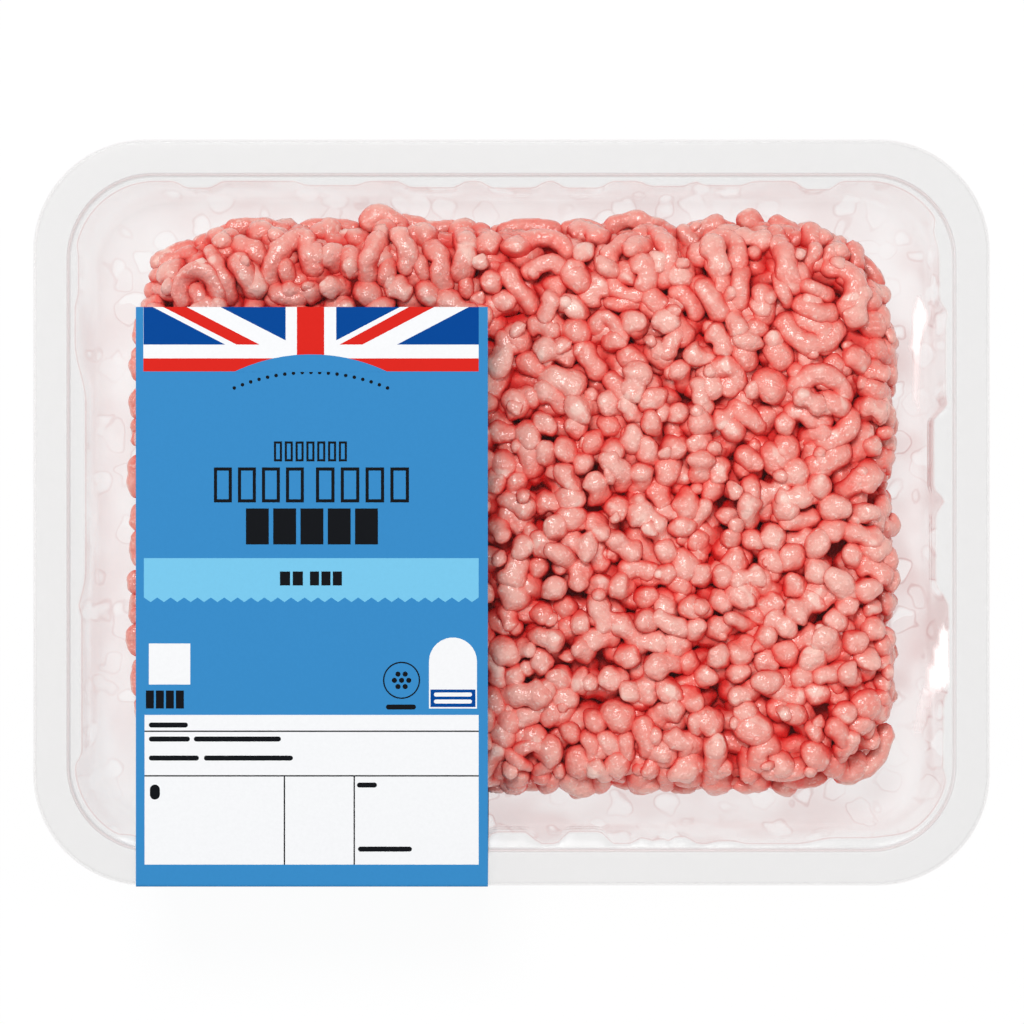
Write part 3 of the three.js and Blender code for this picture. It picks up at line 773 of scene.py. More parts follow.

# %% [markdown]
# Along the edges strands hang over or fell as open loops, some bulge out beside the label, and a viewer
# remembers these shapes. They are given one by one, over what the picture shows: half a thickness in
# pixels, how far the strand rises above the heap in millimetres, then the pixels that its middle line
# passes. Its height comes from the heap below it, and its ends dive in.

# %% Strands laid along given lines
LAID = """
9.5 1.6 519,249 531,239 549,237 563,243 568,256 | 8.5 2.2 526,271 538,266 552,262 563,268
13 2 570,270 582,283 | 10.5 1.5 505,268 514,283 526,297 533,309
11 2.4 661,283 669,264 666,243 652,231 636,237 | 9.5 1.2 640,238 622,243 609,256 612,272
11.5 2.6 640,262 649,272 645,288 | 9 1 611,277 620,290 637,295 652,289 | 8 0.5 607,302 625,303 640,300
9 -1.5 604,233 617,221 640,217 662,225 672,234 | 10 2.2 702,262 706,247 718,238 732,241 738,254 733,268
9 1.6 712,261 721,275 727,292 | 11 1.8 742,272 740,287 739,303 | 11 1.8 763,291 764,305 763,319
10 1.2 750,327 762,329 | 11.5 2.2 702,284 711,298 721,312 | 12 1.6 651,296 659,305
10.5 1.6 670,316 679,327 688,340 | 10 0.5 676,288 690,300 697,315 | 11 1 633,318 641,329
10 1.8 597,332 603,319 615,325 620,342 | 9 1.4 548,310 554,322 560,331 | 12 1.2 512,331 525,345
12 1.4 570,328 585,333 | 12 1.4 627,355 640,365 | 13 1.4 654,351 665,358 | 12 1 525,360 540,370
11 1.3 583,348 592,362 600,373 | 11 1.2 612,378 622,390 632,398 | 11 1 643,388 655,382
12 1.8 713,392 712,376 723,367 735,374 733,390 | 12 0.4 747,216 760,222 | 8.5 1.4 756,225 771,229
11 -0.5 776,221 790,228 797,240 | 12 2.2 780,240 786,255 787,270 795,287 | 7 1.8 776,276 782,290 788,302
11 2.4 826,268 842,268 855,280 853,298 846,312 | 7.5 2.6 803,285 815,289 830,296
10.5 2.2 800,302 816,311 832,314 | 11 2 784,318 793,334 811,344 829,339 838,324 | 8 1 796,266 806,277
12.5 0.8 866,293 872,304 | 14 0.4 866,318 878,327 | 13 0.4 872,345 884,353 | 12 1.2 852,354 862,363
14 0.8 867,384 880,393 | 11.5 2.6 797,391 806,378 822,374 838,383 846,398 | 12 2 826,400 842,406
10 1.6 790,410 804,412 815,422 828,418 | 11 1.8 818,440 835,438 848,427 850,413 | 12.5 1.4 774,346 784,359
10.5 1 795,368 806,379 | 15 1.6 766,378 778,392 | 12 1.8 812,467 828,460 844,448 | 12 1.4 742,345 748,363
8 1.2 731,336 739,342 | 11 1.4 735,410 748,415 760,426 | 12 1.2 726,420 736,432 | 11 1.3 785,440 793,456
12 1.3 770,448 778,466 | 11 1.2 745,454 753,463 | 10 2.4 184,303 180,286 190,272 206,273 215,287 218,300
9 1 196,290 204,305 | 8.5 0.6 150,274 164,272 178,283 | 8.5 0.4 146,288 160,288 172,296
9 0.2 142,302 158,302 | 9 0.8 160,262 175,255 192,252 | 9 1.6 210,250 218,266 226,284 229,300
9 1 234,243 250,247 262,260 | 11.5 2 238,262 247,276 255,293
11 2.4 267,283 272,262 286,244 302,238 308,255 314,272 | 9 1.2 284,262 288,280
10 1.2 272,287 288,298 304,293 | 12 2.6 369,278 367,262 376,244 386,226
12 0.8 366,222 378,213 394,221 398,232 | 11.5 1.4 350,252 353,270 | 9 1.2 388,262 386,282
8 1 339,282 342,292 | 12 1.2 362,287 374,298 | 9 1.2 404,236 407,255 404,270 | 8 1 418,258 424,276
10 1.8 430,246 440,258 440,276 446,288 | 12 1 424,288 434,300 | 12 2.2 465,238 466,256 460,275
8 1 466,280 467,291 | 9.5 0.6 478,226 486,240 480,252 | 8 -2 195,243 215,232 240,225
8 -2 225,226 255,222 285,226 | 8 -2.5 300,224 330,222 355,228 | 8 -2.5 400,218 430,225 455,222
8 -2.5 500,228 530,223 560,229 | 8 -2.5 565,227 585,223 600,232 | 8 -2.5 680,232 710,223 738,228
8 -2.5 800,233 825,240 845,252 | 8 -2.5 838,243 865,257 885,282 | 8 -2.5 150,262 168,250 190,244
13 1.4 511,716 507,729 | 9 1.8 568,729 574,735 | 8 1.6 586,735 593,746 594,760 | 9 1.2 625,738 627,758
11 1.6 643,724 650,752 | 10 1 671,736 668,748 666,762 | 7 1.4 693,734 686,748 684,756
11 2 719,744 716,757 713,778 | 15 0.4 719,775 720,787 | 14 0.2 643,773 643,786 | 11 0.4 605,763 600,786
12 0.2 556,773 547,786 | 12 0.4 512,770 517,786 | 14 1 578,755 583,771 | 15 1 692,758 690,775
10 0.2 666,768 668,786 | 11 0.8 749,766 762,786 | 11 1.8 774,745 761,750 758,765
12 1.2 766,764 784,772 803,765 | 12 2 811,749 819,758 | 16 1.8 744,723 763,733 | 13 2 704,716 714,724
9 0 788,780 807,783 826,780 | 13 0.6 830,760 848,772 864,764 | 9 -0.5 890,730 886,752 870,772 842,781
11 1.6 789,712 800,717 | 15 1.4 861,703 880,711 | 11 1.4 834,725 850,746 | 8 1.4 812,726 818,737
10 1.4 591,715 600,725 | 15 1.4 611,711 626,720 | 13 1 556,719 566,705 | 9 1.2 522,738 541,735
7 1.6 507,751 517,762 529,767 | 7 2 518,751 534,744 547,752 | 8 1 548,752 549,764 538,773
9 -4 138,318 136,338 | 10 -4 136,350 135,374 | 10 -4 135,392 135,412 | 8 -5 133,424 132,438
11 -3 134,460 132,492 | 9 -4 133,510 134,526 | 10 -4 135,536 136,562 | 9 -3 130,577 131,590
10 -5 132,601 133,618 | 10 -4 132,632 132,652 | 10 -4 136,666 137,694 | 9 -4 138,704 141,732
"""


def spread_line(points, per_span=6):
    """A smooth line through the points (Catmull-Rom)."""
    points = np.asarray(points, float)
    ends = [2 * points[0] - points[1], *points, 2 * points[-1] - points[-2]]
    line = []
    for a, b, c, d in zip(ends, ends[1:], ends[2:], ends[3:]):
        slope, bow, twist = c - a, 2 * a - 5 * b + 4 * c - d, 3 * b - a - 3 * c + d
        shares = np.arange(per_span) / per_span
        line += [0.5 * (2 * b + slope * t + bow * t**2 + twist * t**3) for t in shares]
    return np.array([*line, points[-1]])


def join_shapes(name, shapes):
    """One mesh object from several lists of vertices and faces."""
    vertices, faces, start = [], [], 0
    for points, quads in shapes:
        vertices.append(points)
        faces += [[i + start for i in face] for face in quads]
        start += len(points)
    return mesh_object(name, np.concatenate(vertices), faces)


heap_tree = BVHTree.FromObject(heap_surface, bpy.context.evaluated_depsgraph_get())
MEAT_TOP = 30 * mm
DEEPER = (CAMERA_HEIGHT - MEAT_TOP) / (CAMERA_HEIGHT - RIM_TOP)
DIVE = 1.6 * mm
END_REACH = 0.55


def heap_height(x, y):
    """The heap's height under a point, or beside the heap that of its nearest part."""
    hit, *_ = heap_tree.ray_cast(Vector((x, y, 0.1)), Vector((0, 0, -1)))
    return hit.z if hit else heap_tree.find_nearest(Vector((x, y, 18 * mm)))[0].z


def drawn_on(end, before, thick):
    """The end of a line, moved on so that the strand's rounded end comes out where the line ends."""
    return end + (end - before) / np.linalg.norm(end - before) * thick * END_REACH


laid_shapes = []
for strand in filter(str.strip, LAID.replace("\n", "|").split("|")):
    thick, rise, *pixels = strand.split()
    thick, rise = float(thick) * PIXEL, float(rise) * mm
    pixels = np.array([[float(v) for v in pixel.split(",")] for pixel in pixels])
    plan = np.column_stack([pixels[:, 0] - MIDDLE_COLUMN, MIDDLE_ROW - pixels[:, 1]]) * PIXEL * DEEPER
    plan[0] = drawn_on(plan[0], plan[1], thick)
    plan[-1] = drawn_on(plan[-1], plan[-2], thick)
    line = spread_line(plan)
    bow = np.sin(np.pi * np.linspace(0.04, 0.96, len(line))) ** 0.7
    heights = [heap_height(x, y) for x, y in line]
    heights = np.convolve(np.pad(heights, 2, mode="edge"), np.ones(5) / 5, mode="valid")
    path = np.column_stack([line, heights - 0.4 * thick + bow * (rise + DIVE) - DIVE])
    length = np.linalg.norm(np.diff(path, axis=0), axis=1).sum()
    rings = max(11, round(length / (0.8 * mm)))
    bulbs = max(1, round(length / (7.5 * mm)))
    laid_shapes.append(strand_rings(path, thick * 1.05, 16, rings, bulbs, lumps=0.05, rough=0.28 * mm))
laid_piece = join_shapes("mince_laid_strands", laid_shapes)
print("strands laid by hand", len(laid_shapes), "faces", len(laid_piece.data.polygons))

# %% [markdown]
# Over two thousand short strands cover the heap. Geometry Nodes places them: points are spread over the
# heap's skin with a least distance between them, each gets one of the shapes, laid along a direction that
# drifts across the heap, tilted at random and sunk a little. The copies are made real, because an exporter
# can't read instances, and the tree stores three numbers on the mesh for the material: how deep each point
# lies under the skin, how far it faces outwards or up, and a tone for each strand. From the first two the
# material paints the meat's light and shade. The tree ends in Set Material.

# %% A node tree that lays strands over a skin
LAYING_NUMBERS = ["Spacing", "Sink", "Uneven", "Tilt", "Hang", "Size Low", "Size High", "Thickness"]
LAYING_NUMBERS += ["Lowest", "Highest", "Room", "Share From", "Share To"]
LAYING_CHOICES = [
    ("Seed", "Int"),
    ("Strands", "Collection"),
    ("Keep Clear Of", "Object"),
    ("Material", "Material"),
]
MOST_POINTS = 90000
DRIFT_SCALE = 26.0
UPWARD = 0.92
# What would reach through the tray's floor is pressed almost flat on it. A fiftieth of its height stays, so
# that no two faces come to lie in one plane.
PRESSED, PRESSED_FROM = 0.02, FLOOR_TOP + 0.12 * mm


def strand_tree(name):
    """Points on the given skin, strands on the points, then one mesh that knows its depth."""
    tree = bpy.data.node_groups.new(name, "GeometryNodeTree")
    for label, kind in [("Geometry", "Geometry"), *[(n, "Float") for n in LAYING_NUMBERS], *LAYING_CHOICES]:
        tree.interface.new_socket(label, in_out="INPUT", socket_type="NodeSocket" + kind)
    tree.interface.new_socket("Geometry", in_out="OUTPUT", socket_type="NodeSocketGeometry")
    given = make(tree, "NodeGroupInput").outputs

    def add(kind, feeds=None, **settings):
        return make(tree, kind, feeds, **settings)

    def number(operation, *values):
        return math_of(tree, operation, *values)

    def test(operation, a, b):
        return add("FunctionNodeCompare", {0: a, 1: b}, data_type="FLOAT", operation=operation)

    def drawn(low, high, offset, kind="FLOAT"):
        """A random number for each point, another one for each offset."""
        feeds = {"Min": low, "Max": high, "Seed": number("ADD", given["Seed"], offset)}
        return add("FunctionNodeRandomValue", feeds, data_type=kind).outputs["Value"]

    def either_way(limit, offset):
        """A random number between -limit and limit."""
        return drawn(number("MULTIPLY", limit, -1.0), limit, offset)

    def turned(rotation, axis, angle):
        about = add("FunctionNodeAxisAngleToRotation", {"Axis": axis, "Angle": angle})
        return add("FunctionNodeRotateRotation", {0: rotation, 1: about}, rotation_space="LOCAL")

    def dot(a, b):
        return add("ShaderNodeVectorMath", {0: a, 1: b}, operation="DOT_PRODUCT").outputs["Value"]

    def stored(geometry, label, value, domain="POINT"):
        feeds = {"Geometry": geometry, "Name": label, "Value": value}
        return add("GeometryNodeStoreNamedAttribute", feeds, data_type="FLOAT", domain=domain)

    # Points on the skin, between two heights, and clear of the strands laid by hand. Kinds of strand share
    # the same points: each kind takes its own share of them.
    feeds = {"Mesh": given["Geometry"], "Distance Min": given["Spacing"], "Density Max": MOST_POINTS}
    feeds["Seed"] = given["Seed"]
    spread = add("GeometryNodeDistributePointsOnFaces", feeds, distribute_method="POISSON").outputs
    place = add("GeometryNodeInputPosition")
    split = add("ShaderNodeSeparateXYZ", {0: place}).outputs
    other = add("GeometryNodeObjectInfo", {"Object": given["Keep Clear Of"]}).outputs["Geometry"]
    nearness = add("GeometryNodeProximity", {0: other}, target_element="FACES").outputs["Distance"]
    draw = drawn(0.0, 1.0, 9)
    left_out = test("LESS_THAN", split["Z"], given["Lowest"])
    for operation, value, limit in (
        ("GREATER_THAN", split["Z"], "Highest"),
        ("LESS_THAN", nearness, "Room"),
        ("LESS_THAN", draw, "Share From"),
        ("GREATER_EQUAL", draw, "Share To"),
    ):
        tested = test(operation, value, given[limit])
        left_out = add("FunctionNodeBooleanMath", {0: left_out, 1: tested}, operation="OR")
    feeds = {"Geometry": spread["Points"], "Selection": left_out}
    kept = add("GeometryNodeDeleteGeometry", feeds, domain="POINT")

    # Each strand lies along a direction that drifts over the heap, or hangs down the slope.
    drift = noise_of(tree, place, DRIFT_SCALE)
    swing = number("MULTIPLY", number("SUBTRACT", drift, 0.5), 7.0)
    loose = number("ADD", swing, drawn(-1.6, 0.1, 3))
    free = number("SUBTRACT", 1.0, given["Hang"])
    hanging = number("MULTIPLY", drawn(-0.9, 0.9, 22), given["Hang"])
    spin = number("ADD", number("MULTIPLY", loose, free), hanging)
    outwards = add("FunctionNodeAlignRotationToVector", {"Vector": spread["Normal"]}, axis="Z")
    feeds = {"Rotation": outwards, "Factor": given["Hang"], "Vector": (0, 0, -1)}
    upright = add("FunctionNodeAlignRotationToVector", feeds, axis="X", pivot_axis="Z")
    lean = turned(turned(upright, (0, 0, 1), spin), (0, 1, 0), either_way(given["Tilt"], 4))

    # Each is sunk along the skin's normal by its own amount.
    depth = number("ADD", given["Sink"], either_way(given["Uneven"], 5))
    feeds = {0: spread["Normal"], "Scale": number("MULTIPLY", depth, -1.0)}
    shift = add("ShaderNodeVectorMath", feeds, operation="SCALE")
    size = drawn(given["Size Low"], given["Size High"], 7)
    scale = {
        "X": number("MULTIPLY", size, drawn(0.86, 1.14, 20)),
        "Y": number("MULTIPLY", size, drawn(0.88, 1.16, 21)),
        "Z": number("MULTIPLY", size, given["Thickness"]),
    }
    shapes = {"Collection": given["Strands"], "Separate Children": True, "Reset Children": True}
    copies = {
        "Points": add("GeometryNodeSetPosition", {"Geometry": kept, "Offset": shift}),
        "Instance": add("GeometryNodeCollectionInfo", shapes),
        "Pick Instance": True,
        "Instance Index": drawn(0, SHAPES - 1, 6, "INT"),
        "Rotation": lean,
        "Scale": add("ShaderNodeCombineXYZ", scale),
    }
    toned = stored(add("GeometryNodeInstanceOnPoints", copies), "tone", drawn(0.0, 1.0, 8), "INSTANCE")
    real = add("GeometryNodeRealizeInstances", {0: toned})
    pressed_z = number("MULTIPLY_ADD", split["Z"], PRESSED, PRESSED_FROM * (1 - PRESSED))
    feeds = {"X": split["X"], "Y": split["Y"], "Z": number("MAXIMUM", split["Z"], pressed_z)}
    on_floor = add("ShaderNodeCombineXYZ", feeds)
    pressed = add("GeometryNodeSetPosition", {"Geometry": real, "Position": on_floor})

    # How deep each vertex lies under the skin, in millimetres, and how far it faces outwards or up to the
    # light. The material paints light and shade from both.
    near = add("GeometryNodeProximity", {0: given["Geometry"]}, target_element="FACES").outputs["Position"]
    normal = add("GeometryNodeInputNormal")
    feeds = {"Mesh": given["Geometry"], "Value": normal}
    at_skin = add("GeometryNodeSampleNearestSurface", feeds, data_type="FLOAT_VECTOR")
    away = add("ShaderNodeVectorMath", {0: near, 1: place}, operation="SUBTRACT")
    sunk = stored(pressed, "sunk", number("MULTIPLY", dot(away, at_skin), 1000.0))
    upward = add("ShaderNodeSeparateXYZ", {0: normal}).outputs["Z"]
    lit = number("MAXIMUM", dot(normal, at_skin), number("MULTIPLY", upward, UPWARD))
    smooth = add("GeometryNodeSetShadeSmooth", {"Geometry": stored(sunk, "crown", lit)})
    painted = add("GeometryNodeSetMaterial", {"Geometry": smooth, "Material": given["Material"]})
    add("NodeGroupOutput", {0: painted})
    return tree


laying = strand_tree("lay_strands")
print("node tree with", len(laying.nodes), "nodes")

# %% [markdown]
# Raw mince is pink where it is thin and catches the light, and deep red down between the strands, with
# flecks of white fat. Here that light and shade are painted into the colour: the stored numbers choose it
# from a pale lit crown to a dark red crevice, paler where a strand faces up or out to the lamps and darker
# red the deeper it lies. Noises add fat, and a thin wet coat gives the glints, taken off where the painted
# shade is deep. Light goes a little way into meat before it comes out, which keeps its crevices red instead
# of black. Subsurface scattering would work that out, but it takes a third of the render's time, and here a
# strong red painted down in the crevices, where light bounces from strand to strand, looks the same.

# %% Raw meat
# Painted light and shade: the palest pink of a lit crown down to the dark red of a shaded crevice.
LIT_TO_SHADED = (
    (0.0, (0.89, 0.46, 0.39)),
    (0.17, (0.87, 0.35, 0.295)),
    (0.33, (0.86, 0.235, 0.19)),
    (0.50, (0.84, 0.115, 0.092)),
    (0.67, (0.76, 0.036, 0.031)),
    (0.83, (0.72, 0.014, 0.012)),
    (1.0, (0.70, 0.005, 0.005)),
)
FAT = (0.96, 0.70, 0.61)


def raw_meat(name):
    values = {"Roughness": 0.5, "Specular IOR Level": 0.05, "Coat Roughness": 0.2}
    material, tree, shader = new_material(name, values)
    where = make(tree, "ShaderNodeTexCoord").outputs["Object"]
    sunk, crown, tone = (marked(tree, n) for n in ("sunk", "crown", "tone"))
    # Painted shade: depth under the heap's skin and turn away from the light make the colour darker and
    # redder, blurred by a cloud and shifted for each strand.
    level = straight_ranged(tree, sunk, -3.0, 0.2, -1.2, 0.6)
    for shift in (
        straight_ranged(tree, sunk, 0.2, 3.4, 0.0, 2.6),
        straight_ranged(tree, crown, 0.0, 1.0, 3.2, 0.0),
        straight_ranged(tree, noise_of(tree, where, 400.0), 0.25, 0.75, -0.5, 0.5),
        straight_ranged(tree, tone, 0.0, 1.0, -0.5, 0.5),
    ):
        level = math_of(tree, "ADD", level, shift)
    ramp = make(tree, "ShaderNodeValToRGB", {"Fac": straight_ranged(tree, level, -1.5, 4.5, 0.0, 1.0)})
    stops = ramp.color_ramp.elements
    stops.remove(stops[1])
    stops[0].position, stops[0].color = 0.0, (*LIT_TO_SHADED[0][1], 1)
    for position, colour in LIT_TO_SHADED[1:]:
        stops.new(position).color = (*colour, 1)
    # Flecks and smears of fat on the parts that show, left out where the painted shade is deep.
    fleck = ranged(tree, noise_of(tree, where, 1100.0), 0.60, 0.72, 0.0, 0.5)
    smear = ranged(tree, noise_of(tree, where, 170.0), 0.63, 0.72, 0.0, 0.6)
    shallow = ranged(tree, level, -0.4, 1.4, 1.0, 0.0)
    fat = product(tree, math_of(tree, "MAXIMUM", fleck, smear), shallow)
    # The surface is knobbly at a millimetre, which breaks each glint into a few.
    knobbly = {"Strength": 0.62, "Distance": 0.0006, "Height": noise_of(tree, where, 900.0)}
    bump = make(tree, "ShaderNodeBump", knobbly)
    feeds = {"Base Color": mixed(tree, "RGBA", fat, ramp.outputs["Color"], FAT)}
    feeds.update({"Normal": bump, "Coat Normal": bump})
    feeds["Coat Weight"] = ranged(tree, level, 0.4, 2.0, 1.0, 0.0)
    feed(tree, shader, feeds)
    return material


meat = raw_meat("raw_meat")


def lay_strands(
    name, strands, spacing, sink, uneven, tilt, heights, seed, share=(0, 1), room=0.7, thin=1.0, hang=0.0
):
    """One mesh of strands laid over the heap, by the node tree. Lengths are in millimetres."""
    carrier = heap_surface.copy()
    carrier.name = name + "_carrier"
    scene.collection.objects.link(carrier)
    modifier = carrier.modifiers.new("lay", "NODES")
    modifier.node_group = laying
    values = {
        "Spacing": spacing * mm,
        "Sink": sink * mm,
        "Uneven": uneven * mm,
        "Tilt": tilt,
        "Hang": hang,
        "Size Low": 0.92,
        "Size High": 1.1,
        "Lowest": heights[0] * mm,
        "Highest": heights[1] * mm,
        "Room": room * mm,
        "Share From": float(share[0]),
        "Share To": float(share[1]),
        "Thickness": thin,
        "Seed": seed,
        "Strands": strands,
        "Keep Clear Of": laid_piece,
        "Material": meat,
    }
    for socket in laying.interface.items_tree:
        if socket.name in values:
            modifier[socket.identifier] = values[socket.name]
    bpy.context.view_layer.update()
    evaluated = carrier.evaluated_get(bpy.context.evaluated_depsgraph_get())
    made = bpy.data.objects.new(name, bpy.data.meshes.new_from_object(evaluated))
    made.data.name = name
    scene.collection.objects.link(made)
    bpy.data.objects.remove(carrier)
    print(name, "triangles", sum(len(face.vertices) - 2 for face in made.data.polygons))
    return made


HAND_TONE = 0.4


def depth_under_skin(piece, depth_share=1.0):
    """Stores on a piece not laid by the node tree the same numbers that the node tree stores."""
    # The depth and the facing, from which the material paints light and shade.
    sunk, crown = [], []
    for vertex, bent in zip(piece.data.vertices, piece.data.vertex_normals):
        where, normal, _, _ = heap_tree.find_nearest(vertex.co)
        sunk.append((where - vertex.co).dot(normal) / mm * depth_share)
        crown.append(max(bent.vector.dot(normal), bent.vector.z * UPWARD))
    for name, values in (("sunk", sunk), ("crown", crown), ("tone", [HAND_TONE] * len(sunk))):
        mark(piece, name, values)
    piece.data.materials.append(meat)


TOP = dict(spacing=4.5, sink=0.4, uneven=1.0, heights=(19, 60), seed=11)
SIDE = dict(spacing=4.8, sink=0.9, uneven=0.9, heights=(3.4, 20.5), seed=13, hang=1.0)
mince_pieces = [
    lay_strands("mince_top_knobs", knobs, tilt=1.1, share=(0, 0.66), **TOP),
    lay_strands("mince_top_doubles", doubles, tilt=0.8, share=(0.66, 0.91), **TOP),
    lay_strands("mince_top_longer", longer, tilt=0.5, share=(0.91, 1), **TOP),
    lay_strands("mince_side_knobs", knobs, tilt=0.5, share=(0, 0.45), **SIDE),
    lay_strands("mince_side_doubles", doubles, tilt=0.35, share=(0.45, 1), **SIDE),
    lay_strands("mince_crumbs", crumbs, 8.5, -0.6, 1.8, 1.0, (6, 60), 15, room=-1),
    lay_strands("mince_below", plain, 4.8, 3.2, 0.8, 0.5, (3, 60), 12, room=0.0),
    lay_strands("mince_underside", plain, 5.0, 1.4, 0.5, 0.15, (0, 2.4), 14, room=-1, thin=0.8),
]
CORE_DEPTH, CORE_CELL, CORE_LOWEST = 5.2 * mm, 3 * mm, FLOOR_TOP + 0.3 * mm
core = heap_skin("mince_core", -CORE_DEPTH, CORE_CELL, CORE_LOWEST)
depth_under_skin(laid_piece, 0.5)
depth_under_skin(core)
for piece in [*mince_pieces, laid_piece, core]:
    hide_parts("mince")
    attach(piece, "root")
bpy.data.objects.remove(heap_surface)

# %% [markdown]
# The label is one strip of satin paper. It lies on the film, folds over the front rim, runs down to the
# foot and ends under the base. All of it follows one line in side view, so any point of the label is two
# numbers: x across the strip, and how far along it. The print uses the same two numbers, so it follows
# every fold.

# %% The label's line
LABEL_LEFT, LABEL_RIGHT = label_low.x, label_high.x
LABEL_BACK = label_high.y
FOLD = 0.5 * mm
LABEL_FOOT = 9 * mm
LABEL_END = 25 * mm
PAPER = 0.19 * mm


def arc_points(centre, radius, start, end, steps):
    turn = np.linspace(start, end, steps + 1)
    return [(centre[0] + radius * math.cos(a), centre[1] + radius * math.sin(a)) for a in turn]


front = -RIM_WIDTH / 2
label_foot_y = front + foot_inset + FOOT_RADIUS - 0.2 * mm
label_foot_z = FLOOR_UNDER + LABEL_FOOT
skirt_z = RIM_TOP - SKIRT_DROP
reach = math.hypot(label_foot_y - front, skirt_z - label_foot_z)
heading = math.atan2(skirt_z - label_foot_z, front - label_foot_y)
tangent_at = heading + math.acos(LABEL_FOOT / reach)
over_rim = arc_points((front + FOLD, film_high.z - FOLD), FOLD, math.pi / 2, math.pi, 6)
round_foot = arc_points((label_foot_y, label_foot_z), LABEL_FOOT, tangent_at, 1.5 * math.pi, 16)
label_line = np.array(
    [(LABEL_BACK, film_high.z), *over_rim, (front, skirt_z), *round_foot, (LABEL_END, FLOOR_UNDER)]
)
line_steps = np.diff(label_line, axis=0)
line_lengths = np.linalg.norm(line_steps, axis=1)
line_along = np.concatenate([[0], np.cumsum(line_lengths)])
# At each bend the normal leans halfway between its two neighbours', and is as much longer as the mitre
# needs.
headings = line_steps / line_lengths[:, None]
line_normals = np.zeros_like(label_line)
for i, (before, after) in enumerate(zip([headings[0], *headings], [*headings, headings[-1]])):
    mitre = np.array([before[1] + after[1], -(before[0] + after[0])])
    mitre /= np.linalg.norm(mitre)
    line_normals[i] = mitre / mitre.dot((before[1], -before[0]))


def on_label(x, along, lift):
    """Label points in the row frame: x across, along the strip from its back edge, lift off its back."""
    x, along = np.atleast_1d(x).astype(float), np.atleast_1d(along).astype(float)
    y, z, ny, nz = (np.interp(along, line_along, column) for column in (*label_line.T, *line_normals.T))
    return np.column_stack([x, y + ny * lift, z + nz * lift])


print("label strip", round(line_along[-1] / mm, 1), "mm long")

# %% [markdown]
# Printed ink is thin, but it has an edge, and each colour of print is a flat shape with a clean border.
# Each shape is a polygon on the strip, cut at the label's folds and given a thickness of a few hundredths
# of a millimetre. An image would be simpler, but its edges would blur from close by. Everything on the
# label is made of plain fields, bars, blocks and frames.

# %% Flat shapes on the label
label_pieces = []


def clip(polygon, low, high):
    """The part of a polygon whose second coordinate is between low and high."""
    for limit, sign in ((low, 1), (high, -1)):
        kept = []
        for (x0, s0), (x1, s1) in zip(polygon, polygon[1:] + polygon[:1]):
            inside0, inside1 = sign * (s0 - limit) >= 0, sign * (s1 - limit) >= 0
            if inside0:
                kept.append((x0, s0))
            if inside0 != inside1:
                t = (limit - s0) / (s1 - s0)
                kept.append((x0 + (x1 - x0) * t, limit))
        polygon = kept
        if len(polygon) < 3:
            return []
    return polygon


def raised_polygon(target, polygon, low, high):
    """Adds a polygon on the strip to a bmesh as a closed plate from lift low to lift high."""

    def turn(a, b, c):
        """Twice the area of a triangle, positive where it runs anticlockwise."""
        return (b[0] - a[0]) * (c[1] - a[1]) - (c[0] - a[0]) * (b[1] - a[1])

    if sum(x0 * s1 - x1 * s0 for (x0, s0), (x1, s1) in zip(polygon, polygon[1:] + polygon[:1])) < 0:
        polygon = polygon[::-1]
    x, along = np.array(polygon).T
    under, over = ([target.verts.new(p) for p in on_label(x, along, lift)] for lift in (low, high))
    for a, b, c in tessellate_polygon([[Vector((x, s, 0)) for x, s in polygon]]):
        if turn(polygon[a], polygon[b], polygon[c]) < 0:
            b, c = c, b
        target.faces.new((over[a], over[c], over[b]))
        target.faces.new((under[a], under[b], under[c]))
    for i in range(len(polygon)):
        j = (i + 1) % len(polygon)
        target.faces.new((over[i], over[j], under[j], under[i]))


def plates(name, polygons, high, material, low=PAPER):
    """One piece from many flat shapes of one colour, cut where the strip folds."""
    made = bmesh.new()
    for polygon in polygons:
        polygon = [(float(x), float(s)) for x, s in polygon]
        first, last = min(s for _, s in polygon), max(s for _, s in polygon)
        cuts = [s for s in line_along if first < s < last]
        for start, end in zip([first, *cuts], [*cuts, last]):
            part = clip(polygon, start, end)
            if part:
                raised_polygon(made, part, low, high)
    data = bpy.data.meshes.new(name)
    made.to_mesh(data)
    made.free()
    piece = bpy.data.objects.new(name, data)
    scene.collection.objects.link(piece)
    data.materials.append(material)
    label_pieces.append(piece)
    return piece


LABEL_BACK_ROW = 306.6


def x_of(pixel):
    return (pixel - MIDDLE_COLUMN) * PIXEL


def s_of(pixel):
    """Along the strip from the label's back edge."""
    return (pixel - LABEL_BACK_ROW) * PIXEL


def box(x0, s0, x1, s1):
    return [(x0, s0), (x1, s0), (x1, s1), (x0, s1)]


def photo_box(x0, y0, x1, y1):
    return box(x_of(x0), s_of(y0), x_of(x1), s_of(y1))


def photo_shape(points):
    return [(x_of(x), s_of(y)) for x, y in points]


def polar(x, s, radius, angle):
    return x + radius * math.cos(angle), s + radius * math.sin(angle)


def disc(x, s, radius, count):
    return [polar(x, s, radius, 2 * math.pi * i / count) for i in range(count)]


def pill(x0, s0, x1, s1, count=6):
    """A bar with round ends."""
    radius = min(x1 - x0, s1 - s0) / 2
    corners = box(x1 - radius, s1 - radius, x0 + radius, s0 + radius)
    turns = [[math.pi / 2 * (corner + step / count) for step in range(count + 1)] for corner in range(4)]
    return [polar(x, s, radius, a) for (x, s), quarter in zip(corners, turns) for a in quarter]


def block_row(x0, y0, x1, y1, count, gap=0.2):
    """A row of plain upright blocks."""
    step = (x1 - x0) / (count - gap)
    return [photo_box(x0 + i * step, y0, x0 + (i + 1 - gap) * step, y1) for i in range(count)]


